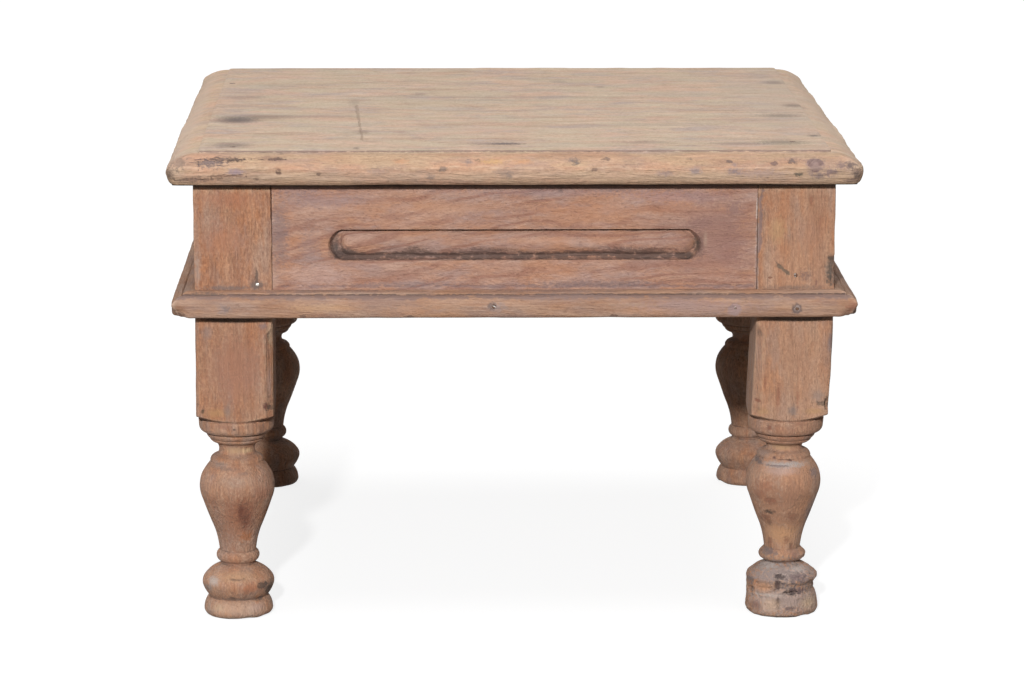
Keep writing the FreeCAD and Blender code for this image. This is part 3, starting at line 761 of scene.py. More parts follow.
    spot((170, -213.3, 235.2), (2, 4, 0.8), (0.22, 0.09, 0.05), 0.7, 1.0, 1.8),
    haze((193.2, -213.3, 236.2), (4.8, 4, 4.8), (0.2, 0.12, 0.1), 0.7, 3.5),
    spot((200.7, -213.3, 231.5), (1, 4, 3.4), (0.2, 0.1, 0.075), 0.75, 0.5, 1.8, 0.3),
    haze((211.2, -213, 239.5), (6.8, 8, 13.5), (0.165, 0.125, 0.1), 0.92, 1.2),
    spot((210.8, -213.3, 247.4), (4.4, 6, 2.8), (0.085, 0.062, 0.05), 0.8, 0.6, 3.4, 0.0),
    spot((210, -213.3, 234), (4, 6, 5.2), (0.095, 0.072, 0.058), 0.75, 0.4, 3.4, 0.0),
    spot((202.5, -213.3, 271.6), (1.3, 4, 9), (0.27, 0.11, 0.065), 0.7, 0.3, 1.8, 0.1),
    spot((196.3, -213.3, 287.4), (2, 4, 6), (0.27, 0.11, 0.065), 0.65, 0.3, 1.8, 0.1),
    line((161.1, -212.8, 272), (161.1, -212.8, 228), 1.6, (0.4, 0.28, 0.235), 0.85, 0.0, 1.0),
    haze((174.3, -213.3, 266.6), (8, 4, 12), (0.48, 0.29, 0.15), 0.6, 1.6),
    haze((195, -213.3, 265), (14, 4, 20), (0.4, 0.2, 0.125), 0.45, 1.6),
    line((163.2, -213.3, 293.5), (162, -213.3, 243), 2.2, (0.22, 0.155, 0.15), 0.7, 0.8, 3.0),
    haze((-193, -213.3, 262), (20, 4, 17), (0.44, 0.2, 0.12), 0.5, 1.6),
    haze((-188, -213.3, 288), (26, 4, 8), (0.4, 0.17, 0.1), 0.55, 1.8),
    haze((-170.9, -213.3, 231), (7.2, 4, 5), (0.16, 0.115, 0.1), 0.85, 1.6),
    spot((-171.2, -213.3, 236.5), (1.1, 4, 6.4), (0.12, 0.08, 0.065), 0.8, 0.5, 1.6),
    haze((-190, -213.3, 229), (24, 4, 2.6), (0.18, 0.135, 0.125), 0.7, 1.8),
    haze((-210.5, -213.3, 242), (3.2, 4, 18), (0.42, 0.33, 0.28), 0.6, 1.6),
    haze((187, -213.3, 228.5), (28, 4, 2.2), (0.18, 0.125, 0.105), 0.6, 1.8),
    # Dark band along the tops of the posts, under the top's overhang: painted shadow of the overhang.
    spot((0, -213.3, 299.2), (2000, 6, 4.6), (0.09, 0.062, 0.048), 0.95, 0.0, 0.5, 0.3),
    # Dark bands on the two front posts just under the moulding: painted shadow of the moulding.
    spot((-187, -213.3, 208), (29, 6, 3.4), (0.06, 0.038, 0.028), 0.85, 0.0, 0.4),
    spot((187, -213.3, 208), (29, 6, 3.4), (0.06, 0.038, 0.028), 0.85, 0.0, 0.4),
)
teak_leg = teak(
    "teak_leg", "Z", (0.14, -0.15, 0.0), (0.0, 0.03, 0.02), pale=(0.545, 0.298, 0.186),
    dark=(0.355, 0.162, 0.090), grey=(0.410, 0.280, 0.232), warm=(0.545, 0.245, 0.118),
    bleached=(0.590, 0.400, 0.280), ring_width=0.011, waviness=0.014, rings=0.32, bands=0.42,
    fibres=0.40, mottle=1.0, sawn=0.22, sawn_above=0.140, greyed=0.55, warmed=0.85, bleaching=0.38,
    rubbing_and_highlight=0.50, dust=0.18, relief=0.0005, edge_pale_and_highlight=(0.52, 0.34, 0.22),
    lower=(turned_length, -1.0, white, (1.05, 1.09, 1.13)), marks=leg_marks)
for number, corner in enumerate(corners):
    piece = skin("leg_" + corner + "_old_teak", leg_rows(corner, 20 * number + 1))
    note_wear(piece, worn_range=(0.00018, 0.0006), hollow_range=(0.00007, 0.0003))
    fitted(piece, teak_leg, "teak_leg", "leg_" + corner)

# The four aprons
# Each is a teak board tenoned into the posts, its face flush with theirs. A long channel with
# round ends is carved in the face, and a half-round reed is left standing in the channel.

apron_half_length = 0.161
apron_thickness = 0.020
seam_gap = 0.0001
channel_half = 0.124
channel_radius = 0.01035
channel_height = 0.2576
channel_depth = 0.005
reed_left = 0.1155
reed_right = 0.1199
reed_left_round = 0.0060
reed_right_round = 0.0115
reed_height = channel_height + 0.0009
reed_radius = 0.0079
reed_rise = 0.0042
reed_fullness = 0.69
apron_arris = 0.0003
face_shares = (0.01, 0.03, 0.06, 0.1, 0.15, 0.2, 0.26, 0.32, 0.38, 0.44, 0.5, 0.56, 0.62, 0.68, 0.74,
               0.8, 0.86, 0.91, 0.95, 0.98)
back_shares = (0.93, 0.8, 0.65, 0.5, 0.35, 0.2, 0.08, 0.0)


def apron_rows(seed):
    """The loops of one apron, drawn for the front with its face at Y = 0: out from the middle of the
    reed, over the channel's wall and the face, round the edges, and in again over the back."""
    straight = channel_half - channel_radius
    fine = np.arange(0.0, 0.0165, 0.0005)
    coarse = np.linspace(0.0175 - straight, straight - 0.0175, 90)
    run = np.concatenate([fine - straight, coarse, straight - fine[::-1]])
    swing = np.linspace(-math.pi / 2, math.pi / 2, 49)[1:-1]
    at_end = np.full(swing.size, straight)
    spine_x = np.concatenate([run, at_end, run[::-1], -at_end])
    out_x = np.concatenate([0 * run, np.cos(swing), 0 * run, -np.cos(swing)])
    out_z = np.concatenate([0 * run - 1, np.sin(swing), 0 * run + 1, -np.sin(swing)])
    spine = np.stack([spine_x, 0 * spine_x, 0 * spine_x + channel_height], -1)
    out = np.stack([out_x, 0 * out_x, out_z], -1)

    half = apron_half_length - seam_gap
    to_side = (half - np.abs(spine_x)) / np.maximum(np.abs(out_x), 1e-9)
    limit_z = np.where(out_z > 0, leg_length - channel_height, channel_height - moulding_low)
    rim = np.minimum(to_side, limit_z / np.maximum(np.abs(out_z), 1e-9))
    for place_x, place_z in ((half, leg_length), (half, moulding_low)):
        target = math.atan2(place_z - channel_height, place_x - straight)
        for mirrored in (1, -1):
            there = np.arctan2(out_z, out_x * mirrored)
            side = (np.abs(out_x) > 0) & (np.sign(out_x) == mirrored)
            nearest = np.argmin(np.where(side, np.abs(there - target), 9))
            corner_out = np.array([mirrored * (place_x - straight), 0, place_z - channel_height])
            rim[nearest] = np.linalg.norm(corner_out)
            out[nearest] = corner_out / rim[nearest]

    inside = np.linspace(0, channel_radius - 0.0006, 28)
    wall = channel_radius + np.array([-0.0004, -0.0002, 0.0, 0.0002, 0.0005])
    rows = [spine + out * distance for distance in np.concatenate([inside, wall])]
    rows += [spine + out * (wall[-1] + (rim - wall[-1]) * share)[:, None] for share in face_shares]
    rows = np.array(rows)

    x, z = rows[..., 0], rows[..., 2] - channel_height
    from_end = np.hypot(np.maximum(np.abs(x) - straight, 0), z)
    slack = 0.0007 + 0.0026 * ease(np.abs(x), straight + 0.001, straight + 0.008)
    channel = channel_depth * ease(from_end, channel_radius + 0.0003, channel_radius - slack)
    waver = 0.0005 * cloud(np.stack([x, 0 * x, 0 * x], -1), 0.02, seed)
    beside = np.abs(rows[..., 2] - reed_height + waver)
    past_left = np.maximum(-x - reed_left + reed_left_round, 0) * reed_radius / reed_left_round
    past_right = np.maximum(x - reed_right + reed_right_round, 0) * reed_radius / reed_right_round
    from_spine = np.where(x < 0, (past_left ** 3 + beside ** 3) ** (1 / 3), np.hypot(past_right, beside))
    dome = np.sqrt(np.maximum(1 - np.minimum(from_spine / reed_radius, 1) ** 2 * reed_fullness, 0))
    foot = math.sqrt(1 - reed_fullness)
    reed = reed_rise * (dome - foot) / (1 - foot)
    sunk = np.maximum(channel - reed, 0) * (channel > 0)
    sunk = sunk + uneven(rows, 0.00012, (0.05, 0.05, 0.012), seed + 1)
    in_channel = ease(channel, 0.001, 0.004)
    sunk = sunk + in_channel * uneven(rows, 0.00025, (0.008, 0.01, 0.003), seed + 2)
    lip = np.exp(-((from_end - channel_radius - 0.0006) / 0.0008) ** 2)
    rows[..., 1] = sunk + lip * uneven(rows, 0.0003, (0.012, 0.01, 0.01), seed + 3)

    edge = spine + out * rim[:, None]
    centre = np.array([0, 0, (leg_length + moulding_low) / 2])
    pulled = edge + np.sign(centre - edge) * np.array([apron_arris, 0, apron_arris]) * 0.3
    steps = [line_at + np.array([0, inward, 0]) for line_at, inward in (
        (pulled, 0.0001), (edge, apron_arris), (edge, apron_thickness - apron_arris),
        (pulled, apron_thickness))]
    for share in back_shares:
        back = spine + out * (rim * share)[:, None]
        back[:, 1] = apron_thickness - uneven(back, 0.0003, (0.05, 0.05, 0.01), seed + 4)
        steps.append(back)
    return np.concatenate([rows, np.array(steps)])


def turned_to(rows, side, distance):
    """Carry rows drawn for the front round to their own side of the table."""
    x, y, z = rows[..., 0], rows[..., 1] - distance, rows[..., 2]
    for _ in range(side):
        x, y = -y, x
    return np.stack([x, y, z], -1)


apron_marks = (
    line((160.6, -213.5, 294), (159.8, -213.5, 236), 1, (0.6, 0.5, 0.44), 0.85, 0.0, 1.6),
    line((-160.6, -213.5, 299), (-160.6, -213.5, 229), 0.7, (0.15, 0.1, 0.085), 0.5, 0.0, 1.6),
    line((-159.8, -213.5, 288), (-159.6, -213.5, 272), 0.9, (0.6, 0.46, 0.36), 0.7, 0.0, 2.0),
    line((160.9, -212.8, 272), (160.9, -212.8, 228), 1.4, (0.36, 0.24, 0.205), 0.8, 0.0, 1.0),
    haze((130, -213.5, 262), (34, 6, 40), (0.33, 0.19, 0.15), 0.55, 1.6),
    haze((-156, -213.5, 265), (9, 6, 33), (0.2, 0.15, 0.15), 0.55, 2.0),
    haze((-125, -213.5, 288), (38, 6, 8), (0.3, 0.21, 0.21), 0.5, 2.0),
    haze((-145, -213.5, 295), (20, 6, 6), (0.28, 0.2, 0.2), 0.45, 2.0),
    haze((-136, -213.5, 256), (11, 6, 20), (0.28, 0.2, 0.19), 0.45, 1.8),
    haze((-130, -213.5, 238), (30, 6, 10), (0.5, 0.33, 0.28), 0.45, 1.6),
    haze((-40, -213.5, 283), (80, 6, 6), (0.52, 0.29, 0.18), 0.4, 1.6),
    haze((70, -213.5, 281), (70, 6, 5), (0.5, 0.24, 0.13), 0.4, 1.6),
    haze((30, -213.5, 293), (110, 6, 4), (0.3, 0.21, 0.21), 0.4, 2.0),
    haze((106, -213.5, 290), (50, 6, 6), (0.34, 0.22, 0.22), 0.5, 2.0),
    line((-158, -213.5, 230), (158, -213.5, 229.6), 1.8, (0.2, 0.14, 0.14), 0.55, 0.5, 2.0),
    haze((55, -213.5, 231.5), (60, 6, 3), (0.19, 0.14, 0.14), 0.6, 2.4),
    haze((-70, -213.5, 231.5), (50, 6, 2.6), (0.22, 0.16, 0.16), 0.5, 2.4),
    haze((145, -213.5, 282), (7, 6, 7), (0.24, 0.16, 0.15), 0.7, 2.0),
    haze((124, -213.5, 272), (12, 6, 6), (0.22, 0.13, 0.12), 0.6, 2.0),
    haze((143, -213.5, 256), (12, 6, 22), (0.27, 0.14, 0.12), 0.5, 2.0),
    haze((133, -213.5, 240), (20, 6, 9), (0.5, 0.25, 0.15), 0.4, 1.8),
    spot((30, -213.5, 295), (2.6, 6, 3.4), (0.2, 0.14, 0.13), 0.7, 0.5, 2.4, 0.35),
    haze((62, -213.5, 295), (25, 6, 2.6), (0.22, 0.16, 0.15), 0.5, 2.2),
    # Dark at the channel's right end, beside the reed's end: dirt, and painted shade in the recess.
    haze((122.5, -211, 257), (5.8, 10, 11.5), (0.075, 0.058, 0.048), 0.95, 1.8),
    haze((115, -211, 250), (11, 8, 3.4), (0.1, 0.075, 0.06), 0.75, 1.6),
    haze((126.5, -213.5, 261), (2, 6, 8), (0.58, 0.46, 0.34), 0.5, 1.6),
    # Dark at the channel's left end, beside the reed's end: dirt, and painted shade in the recess.
    spot((-119.2, -209.5, 256.5), (6.4, 12, 13), (0.085, 0.066, 0.06), 0.9, 0.0, 1.0, 0.0),
    haze((135, -213.5, 262), (45, 6, 42), (0.285, 0.15, 0.12), 0.55, 1.6),
    # Dark below the reed's left end: dirt, and painted shade in the recess.
    haze((-113, -210, 252), (11, 12, 6), (0.085, 0.062, 0.055), 0.9, 1.4),
    # Dark along the channel under the reed: dirt, and painted shade in the gap. The three hazes after
    # these lines darken the reed's lower, downward-facing side: painted shade.
    line((-117, -209, 250), (116, -209, 249.8), 4.4, (0.1, 0.065, 0.055), 0.85, 0.0, 1.2),
    line((-117, -209.5, 248.3), (116, -209.5, 248.3), 1.2, (0.05, 0.035, 0.03), 0.85, 0.5, 0.6),
    haze((-66, -210, 254), (12, 6, 4), (0.12, 0.075, 0.06), 0.75, 2.4),
    haze((-20, -210, 253.5), (26, 6, 3.4), (0.13, 0.08, 0.065), 0.65, 2.4),
    haze((80, -210, 253.5), (40, 6, 3.4), (0.13, 0.08, 0.065), 0.65, 2.4),
    haze((20, -210, 260), (70, 6, 3.4), (0.52, 0.29, 0.19), 0.4, 1.6),
    # Dark line along the channel's top edge: painted shadow of the channel wall.
    line((-119, -210, 267.2), (115, -210, 267.2), 1, (0.06, 0.04, 0.032), 0.85, 0.5, 0.6),
    # Dark band along the top of the apron, under the top's overhang: painted shadow of the overhang.
    spot((0, -213.3, 299.2), (2000, 6, 4.6), (0.09, 0.062, 0.048), 0.95, 0.0, 0.5, 0.3),
    line((-156, -213.5, 295.8), (156, -213.5, 295.8), 2.2, (0.2, 0.13, 0.12), 0.45, 0.0, 2.5),
)
apron_wood = dict(
    pale=(0.500, 0.300, 0.220), dark=(0.330, 0.165, 0.118), grey=(0.385, 0.265, 0.240),
    warm=(0.510, 0.255, 0.145), bleached=(0.530, 0.370, 0.305), edge_pale_and_highlight=(0.55, 0.37, 0.27),
    ring_width=0.0072, waviness=0.016, rings=0.70, bands=0.60, fibres=0.38, mottle=0.38, greyed=0.65,
    warmed=0.65, bleaching=0.36, rubbing_and_highlight=0.22, relief=0.00035)
teak_apron = teak("teak_apron", "X", (0.17, -0.213, 0.185), (0.0, 0.0, 0.23), marks=apron_marks,
                  **apron_wood)
teak_apron_side = teak("teak_apron_side", "Y", (-0.20, 0.17, 0.185), (0.0, 0.0, 0.2), **apron_wood)
sides = ("front", "right", "back", "left")
for number, side in enumerate(sides):
    rows = turned_to(apron_rows(100 + 10 * number), number, frame_half)
    piece = skin("apron_" + side + "_old_teak", rows, capped=False)
    note_wear(piece, worn_range=(0.0001, 0.0005), hollow_range=(0.00008, 0.0005))
    fitted(piece, teak_apron if number % 2 == 0 else teak_apron_side, "teak_apron", "apron_" + side)

# The moulding
# Four strips of teak with a rounded edge and a small bead, mitred at the corners and nailed round
# the foot of the aprons and over the posts. The bead's quirk is painted dark: dirt, and the shadow under
# the bead.

moulding_height = 0.017
moulding_projection = 0.015
moulding_wall_share = 0.03
moulding_rows_along = 260
mitre_reach = 0.014
mitre_rubbed = 0.0006
mitre_rubbed_low = 0.0026
mitre_raised = 0.0022
mitre_lowered = 0.0012
moulding_shares = (
    ((0.240, 0.000), (0.470, 0.070)), ((0.485, 0.190),), ((0.525, 0.180),), ((0.565, 0.135),),
    ((0.853, 0.240), (0.990, 0.480)), ((1.000, 0.640),), ((1.000, 0.860),),
    ((0.960, 0.960), (0.827, 1.000)), ((0.0, 1.0),), ((0.0, moulding_wall_share),),
)


def moulding_rows(seed):
    """One strip's section carried from mitre to mitre, drawn for the front with the wall at Y = 0."""
    stretches = [tuple((out * moulding_projection, drop * moulding_height) for out, drop in row)
                 for row in moulding_shares]
    section = drawn_outline((0.0, moulding_wall_share * moulding_height), stretches, 0.0004)
    section = rubbed(section, 1)[:-1]
    share = np.sin(np.linspace(-math.pi / 2, math.pi / 2, moulding_rows_along))
    share = 0.5 * share + 0.5 * np.linspace(-1, 1, moulding_rows_along)
    out, drop = section[None, :, 0], section[None, :, 1]
    x = share[:, None] * (frame_half + out)
    y, z = np.broadcast_to(-out, x.shape), np.broadcast_to(moulding_high - drop, x.shape)
    places = np.stack([x, y, z], -1)
    free = ease(out, 0.002, 0.005)
    worn = uneven(places, 0.00018, (0.05, 0.02, 0.01), seed)
    worn += 0.00015 * cloud(places, (0.010, 0.004, 0.003), seed + 1)
    nicks = 0.0009 * np.clip(cloud(places, (0.009, 0.01, 0.01), seed + 2) - 0.40, 0, 1)
    from_tip = frame_half + moulding_projection - np.abs(x)
    tip = ease(from_tip, mitre_reach, 0.0) * ease(out, 0.006, 0.015)
    heel = ease(drop, 0.0075, 0.0165)
    drawn_in = tip * (mitre_rubbed + mitre_rubbed_low * heel)
    places[..., 1] += free * (worn + nicks * ease(drop, 0.010, 0.016)) + drawn_in
    places[..., 0] -= np.sign(x) * drawn_in
    places[..., 2] += tip * mitre_raised * heel
    places[..., 2] -= free * worn * (drop < 0.008) + tip * mitre_lowered * ease(drop, 0.0075, 0.002)
    gnawed = np.clip(cloud(places, (0.016, 0.02, 0.02), seed + 3), 0, 1)
    places[..., 2] += 0.0005 * ease(drop, 0.0135, 0.017) * free * gnawed
    return places


filler_grey = (0.30, 0.225, 0.205)
moulding_marks = (
    line((-212, -214, 228), (212, -214, 228), 1.4, (0.11, 0.08, 0.07), 0.75, 0.5, 1.0),
    # Dark line in the bead's quirk: dirt, and painted shadow under the bead.
    line((-220.5, -220.4, 225.3), (220.5, -220.4, 225.3), 1.3, (0.1, 0.07, 0.06), 0.85, 0.5, 0.9),
    # Dark band on the rounded face below the quirk: painted shade.
    line((-223, -223, 224.3), (223, -223, 224.3), 4.2, (0.23, 0.155, 0.135), 0.85, 0.0, 1.2),
    haze((-205, -218, 226.2), (18, 6, 2.4), (0.12, 0.09, 0.08), 0.75, 2.0),
    haze((-120, -216, 227.5), (60, 6, 1.6), (0.16, 0.12, 0.11), 0.5, 2.4),
    haze((20, -216, 227.5), (60, 6, 1.6), (0.18, 0.13, 0.12), 0.45, 2.4),
    # Dark haze on the rounded face below the quirk: painted shade.
    haze((35, -223, 224), (60, 8, 3.4), (0.28, 0.2, 0.18), 0.45, 2.0),
    haze((-130, -228, 218), (30, 6, 4), (0.54, 0.33, 0.19), 0.5, 2.0),
    haze((90, -228, 216), (30, 6, 4), (0.54, 0.3, 0.19), 0.4, 2.0),
    haze((-70, -228, 217), (26, 6, 4), (0.5, 0.27, 0.16), 0.4, 2.0),
    haze((-192.5, -228, 217), (7, 4, 5), filler_grey, 0.65, 2.4),
    spot((-191, -228, 217.2), (2.6, 4, 2.6), (0.2, 0.15, 0.14), 0.6, 0.8, 2.6, 0.35),
    haze((-12, -228, 219), (9, 4, 4.6), filler_grey, 0.75, 2.4),
    spot((-15.5, -228, 219.2), (3.4, 4, 3.2), (0.15, 0.11, 0.1), 0.7, 1.0, 2.6, 0.35),
    spot((145.6, -228, 216.5), (5.6, 4, 5.2), (0.33, 0.235, 0.225), 0.8, 0.4, 0.8, 0.6),
    spot((144, -228, 218.5), (2.2, 4, 1.6), (0.2, 0.15, 0.14), 0.5, 0.5, 2.4, 0.35),
    spot((186.7, -228, 217), (4.2, 4, 4.2), (0.13, 0.095, 0.09), 0.85, 0.8, 1.6, 0.5),
    spot((186.9, -228, 217.2), (2.4, 4, 2.4), (0.36, 0.28, 0.25), 0.75, 0.0, 1.2, 0.5),
    spot((65, -228, 212.2), (3, 4, 1.4), (0.14, 0.08, 0.06), 0.75, 1.0, 2.0, 0.45),
    spot((-70, -228, 212), (4, 4, 1.4), (0.14, 0.08, 0.06), 0.7, 1.0, 2.0, 0.45),
    spot((-140, -228, 212.6), (3, 4, 1.4), (0.14, 0.08, 0.06), 0.7, 1.0, 2.0, 0.45),
    haze((-127, -228, 213), (16, 4, 1.8), (0.18, 0.1, 0.08), 0.5, 2.4),
    haze((0, -228, 212.4), (40, 4, 1.6), (0.18, 0.1, 0.08), 0.5, 2.4),
    haze((224.5, -227, 217), (7, 6, 7), (0.34, 0.145, 0.09), 0.7, 1.8),
    haze((-223, -227, 213), (6, 8, 3), (0.14, 0.09, 0.08), 0.6, 1.8),
    haze((120, -228, 219), (60, 4, 7), (0.33, 0.22, 0.21), 0.5, 2.0),
)
moulding_wood = dict(
    pale=(0.422, 0.258, 0.176), dark=(0.300, 0.158, 0.104), grey=(0.352, 0.248, 0.210),
    warm=(0.458, 0.250, 0.144), bleached=(0.500, 0.355, 0.270), edge_pale_and_highlight=(0.54, 0.39, 0.29),
    ring_width=0.006, waviness=0.010, rings=0.22, bands=0.50, fibres=0.42, mottle=0.40, greyed=0.65,
    warmed=0.7, bleaching=0.40, rubbing_and_highlight=0.45, relief=0.00035)
teak_moulding = teak("teak_moulding", "X", (0.0, -0.28, 0.16), (0.0, 0.03, 0.02), marks=moulding_marks,
                     **moulding_wood)
teak_moulding_side = teak("teak_moulding_side", "Y", (-0.28, 0.0, 0.16), (0.0, 0.02, -0.03),
                          **moulding_wood)
for number, side in enumerate(sides):
    rows = turned_to(moulding_rows(200 + 10 * number), number, frame_half)
    piece = skin("moulding_" + side + "_old_teak", rows)
    note_wear(piece, worn_range=(0.0001, 0.0004), hollow_range=(0.00005, 0.00025), passes=6)
    material = teak_moulding if number % 2 == 0 else teak_moulding_side
    fitted(piece, material, "teak_moulding", "moulding_" + side)

# The iron pins and nails
# Each apron's tenons are pinned through the posts, and the moulding is nailed on. All are old iron:
# brown with rust, and a head that was rubbed shows bright metal.

pin_head_radius = 0.0013
moulding_nail_head_radius = 0.0021 * 0.7
moulding_nail_length = 0.029
pin_length = 0.030
pin_proud = 0.0003
nail_proud = 0.0002
nail_shape = ((0.15, 1.0), (0.35, 0.97), (0.55, 0.88), (0.72, 0.72), (0.86, 0.48), (0.95, 0.2),
              (1.0, -0.2), (1.0, -1.6), (0.62, -2.6), (0.55, -4.0))


def iron(name, bright):
    """Old iron: rust over dark metal, with some share of it rubbed bright."""
    material, tree, shader = new_material(name)
    place = put(tree, "TexCoord").outputs["Object"]
    rust = noise(tree, place, 1500.0, 4.0, 0.65)
    worn = put(tree, "Attribute", attribute_name="worn").outputs["Fac"]
    bare = spread(tree, noise(tree, place, 500.0, 2.0), 0.62 - 0.3 * bright, 0.75 - 0.3 * bright)
    bare = put(tree, "Clamp", sum_up(tree, "ADD", bare, times(tree, worn, 0.3))).outputs[0]
    colour = tinted(tree, spread(tree, rust, 0.35, 0.65), (0.055, 0.035, 0.028), (0.16, 0.075, 0.04))
    tree.links.new(tinted(tree, bare, colour, (0.55, 0.53, 0.50)), shader.inputs["Base Color"])
    tree.links.new(bare, shader.inputs["Metallic"])
    tree.links.new(spread(tree, bare, 0.0, 1.0, 0.85, 0.35), shader.inputs["Roughness"])
    bumped(tree, shader, rust, 0.0002)
    return material


def nail_places(head, outward, head_radius, length, proud, seed):
    """The loops of one nail: a hammered head, standing a little proud, and its shank behind."""
    outward = np.array(outward, float)
    helper = np.array([0, 0, 1.0]) if abs(outward[2]) < 0.5 else np.array([1.0, 0, 0])
    first = np.cross(helper, outward)
    second = np.cross(outward, first)
    angle = np.linspace(0, math.tau, 33)[:-1]
    ring = np.cos(angle)[:, None] * first + np.sin(angle)[:, None] * second
    rows = [np.array(head) + ring * head_radius * share + outward * proud * rise
            for share, rise in nail_shape]
    rows.append(np.array(head) + ring * head_radius * 0.5 - outward * length)
    rows = np.array(rows)
    rough = cloud(rows, head_radius * 0.6, seed)
    rows = rows + outward * (0.12 * proud * rough)[..., None]
    return rows + ring * (0.05 * head_radius * rough)[..., None]


def fit_iron(node, nails, material):
    """Fasten several pins or nails to the table as one piece, in place of their CAD node."""
    places, faces, start = [], [], 0
    for rows in nails:
        count, around = rows.shape[:2]
        last = start + (count - 1) * around
        faces += loop_faces(count, around, start)
        faces.append([start + j for j in range(around)])
        faces.append([last + j for j in range(around)][::-1])
        places.append(rows.reshape(-1, 3))
        start += count * around
    piece = meshed(node + "_iron", np.vstack(places), faces)
    note_wear(piece, worn_range=(0.00005, 0.0003), hollow_range=(0.00005, 0.0003), passes=3)
    fitted(piece, material, "old_iron", node)


old_iron = iron("old_iron", 0.25)
rubbed_iron = iron("rubbed_iron", 1.4)
side_out = ((0, -1), (1, 0), (0, 1), (-1, 0))
pin_across = 0.1709
pins = {
    "front_left": (((-pin_across, -frame_half, 0.2312), 0), ((-frame_half, -pin_across, 0.2582), 3)),
    "front_right": (((0.1869, -frame_half, 0.2368), 0), ((frame_half, -pin_across, 0.2582), 1)),
    "back_left": (((-pin_across, frame_half, 0.2312), 2), ((-frame_half, pin_across, 0.2582), 3)),
    "back_right": (((pin_across, frame_half, 0.2312), 2), ((frame_half, pin_across, 0.2582), 1)),
}
for number, (corner, placed) in enumerate(pins.items()):
    loops = [nail_places(head, (*side_out[side], 0), pin_head_radius, pin_length, pin_proud,
                         300 + number) for head, side in placed]
    fit_iron("tenon_pins_" + corner, loops, rubbed_iron if corner == "front_left" else old_iron)

moulding_nail_out = frame_half + moulding_projection
front_nails = ((-0.1917, 0.2170), (-0.0141, 0.2190), (0.1457, 0.2170), (0.1868, 0.2170))
other_nails = ((-0.1874, 0.2170), (-0.0639, 0.2170), (0.0639, 0.2170), (0.1874, 0.2170))
for number, side in enumerate(sides):
    heads = [turned_to(np.array([along, 0.0003, height]), number, moulding_nail_out)
             for along, height in (front_nails if number == 0 else other_nails)]
    fit_iron("moulding_nails_" + side, [
        nail_places(head, (*side_out[number], 0), moulding_nail_head_radius, moulding_nail_length,
                    nail_proud, 320 + number) for head in heads], old_iron)

# The top
# Two teak boards, tongued and grooved, lie across the frame and overhang it. Their shared edge is
# moulded: a fine step, a falling border and a rounded nose, which use has made wavy and bruised.

top_half = 0.230
top_height = 0.321
top_thickness = 0.021
border_width = 0.0205
border_step = 0.0018
corner_round = 0.009
joint_place = -0.036
ridge_drop = 0.0092
ridge_width = 0.0018
line_step_x = 0.002
line_step_y = 0.003
joint_margin = 0.0006
edge_outline = (
    ((0.463, 0.190), (0.054, 0.429)), ((0.0, 0.619), (0.054, 0.809)), ((0.122, 0.943), (0.268, 1.0)),
)


def top_section():
    """The moulded edge from the underside up to the field, as insets and drops."""
    shares = [tuple((i * border_width, d * top_thickness) for i, d in row) for row in edge_outline]
    falling = drawn_outline((border_width, border_step), shares, 0.0007)
    step = [(border_width + inset, drop)
            for inset, drop in ((0.0004, 0.0), (0.0002, 0.0003), (0.0001, 0.0010))]
    return np.vstack([step, rubbed(falling, 2)])[::-1]


def board_lines(low, high, step):
    """Even lines across the flat field between two places."""
    return np.linspace(low, high, max(2, round((high - low) / step) + 1))


def top_sheets():
    """Places of the whole top's upper and lower sheets, and the row at which the boards meet."""
    section = top_section()
    edge = len(section)
    field = top_half - section[-1, 0]
    x_lines = board_lines(-field, field, line_step_x)[1:-1]
    before = board_lines(-field, joint_place - joint_margin, line_step_y)[1:]
    after = board_lines(joint_place + joint_margin, field, line_step_y)[:-1]
    beside_joint = joint_place + np.array([-0.00018, -0.00014, 0.00014, 0.00018])
    y_lines = np.concatenate([before, beside_joint, after])
    meeting = edge + len(before) + 2
    along = np.linspace(0, 1, edge)

    def ring_place(k, m):
        """Insets of place m on ring k near a corner: square to the edge, and along it."""
        inset = section[k, 0]
        radius = max(corner_round - inset, 0.0025)
        share = (along[m] - along[k]) / max(1 - along[k], 1e-9)
        reach = inset + (section[-1, 0] - inset) * share
        if reach >= inset + radius:
            return inset, reach
        slant = math.radians(45) * (1 - (reach - inset) / radius)
        return inset + radius * (1 - math.cos(slant)), inset + radius * (1 - math.sin(slant))

    count_x, count_y = 2 * edge + len(x_lines), 2 * edge + len(y_lines)
    top = np.zeros((count_x, count_y, 3))
    ring = np.zeros((count_x, count_y), int)
    for i in range(count_x):
        a = min(i, count_x - 1 - i)
        sign_x = -1 if i < count_x / 2 else 1
        for j in range(count_y):
            b = min(j, count_y - 1 - j)
            sign_y = -1 if j < count_y / 2 else 1
            k = min(a, b, edge - 1)
            if a < edge and b < edge:
                square, beside = ring_place(k, max(a, b))
                inset_x, inset_y = (square, beside) if a <= b else (beside, square)
                x, y = sign_x * (top_half - inset_x), sign_y * (top_half - inset_y)
            elif a < edge:
                x, y = sign_x * (top_half - section[a, 0]), y_lines[j - edge]
            elif b < edge:
                x, y = x_lines[i - edge], sign_y * (top_half - section[b, 0])
            else:
                x, y = x_lines[i - edge], y_lines[j - edge]
            top[i, j] = x, y, top_height - section[k, 1]
            ring[i, j] = k
    under = top.copy()
    heel = section[0, 0]
    share = np.clip(ring / (edge - 1), 0, 1)[..., None]
    plan = top[..., :2]
    outer = plan * ((top_half - heel) / np.maximum(np.abs(plan).max(-1, keepdims=True), 1e-9))
    under[..., :2] = np.where(ring[..., None] < edge - 1, outer + (plan - outer) * share, plan)
    under[..., 2] = leg_length
    return top, under, ring, section, meeting


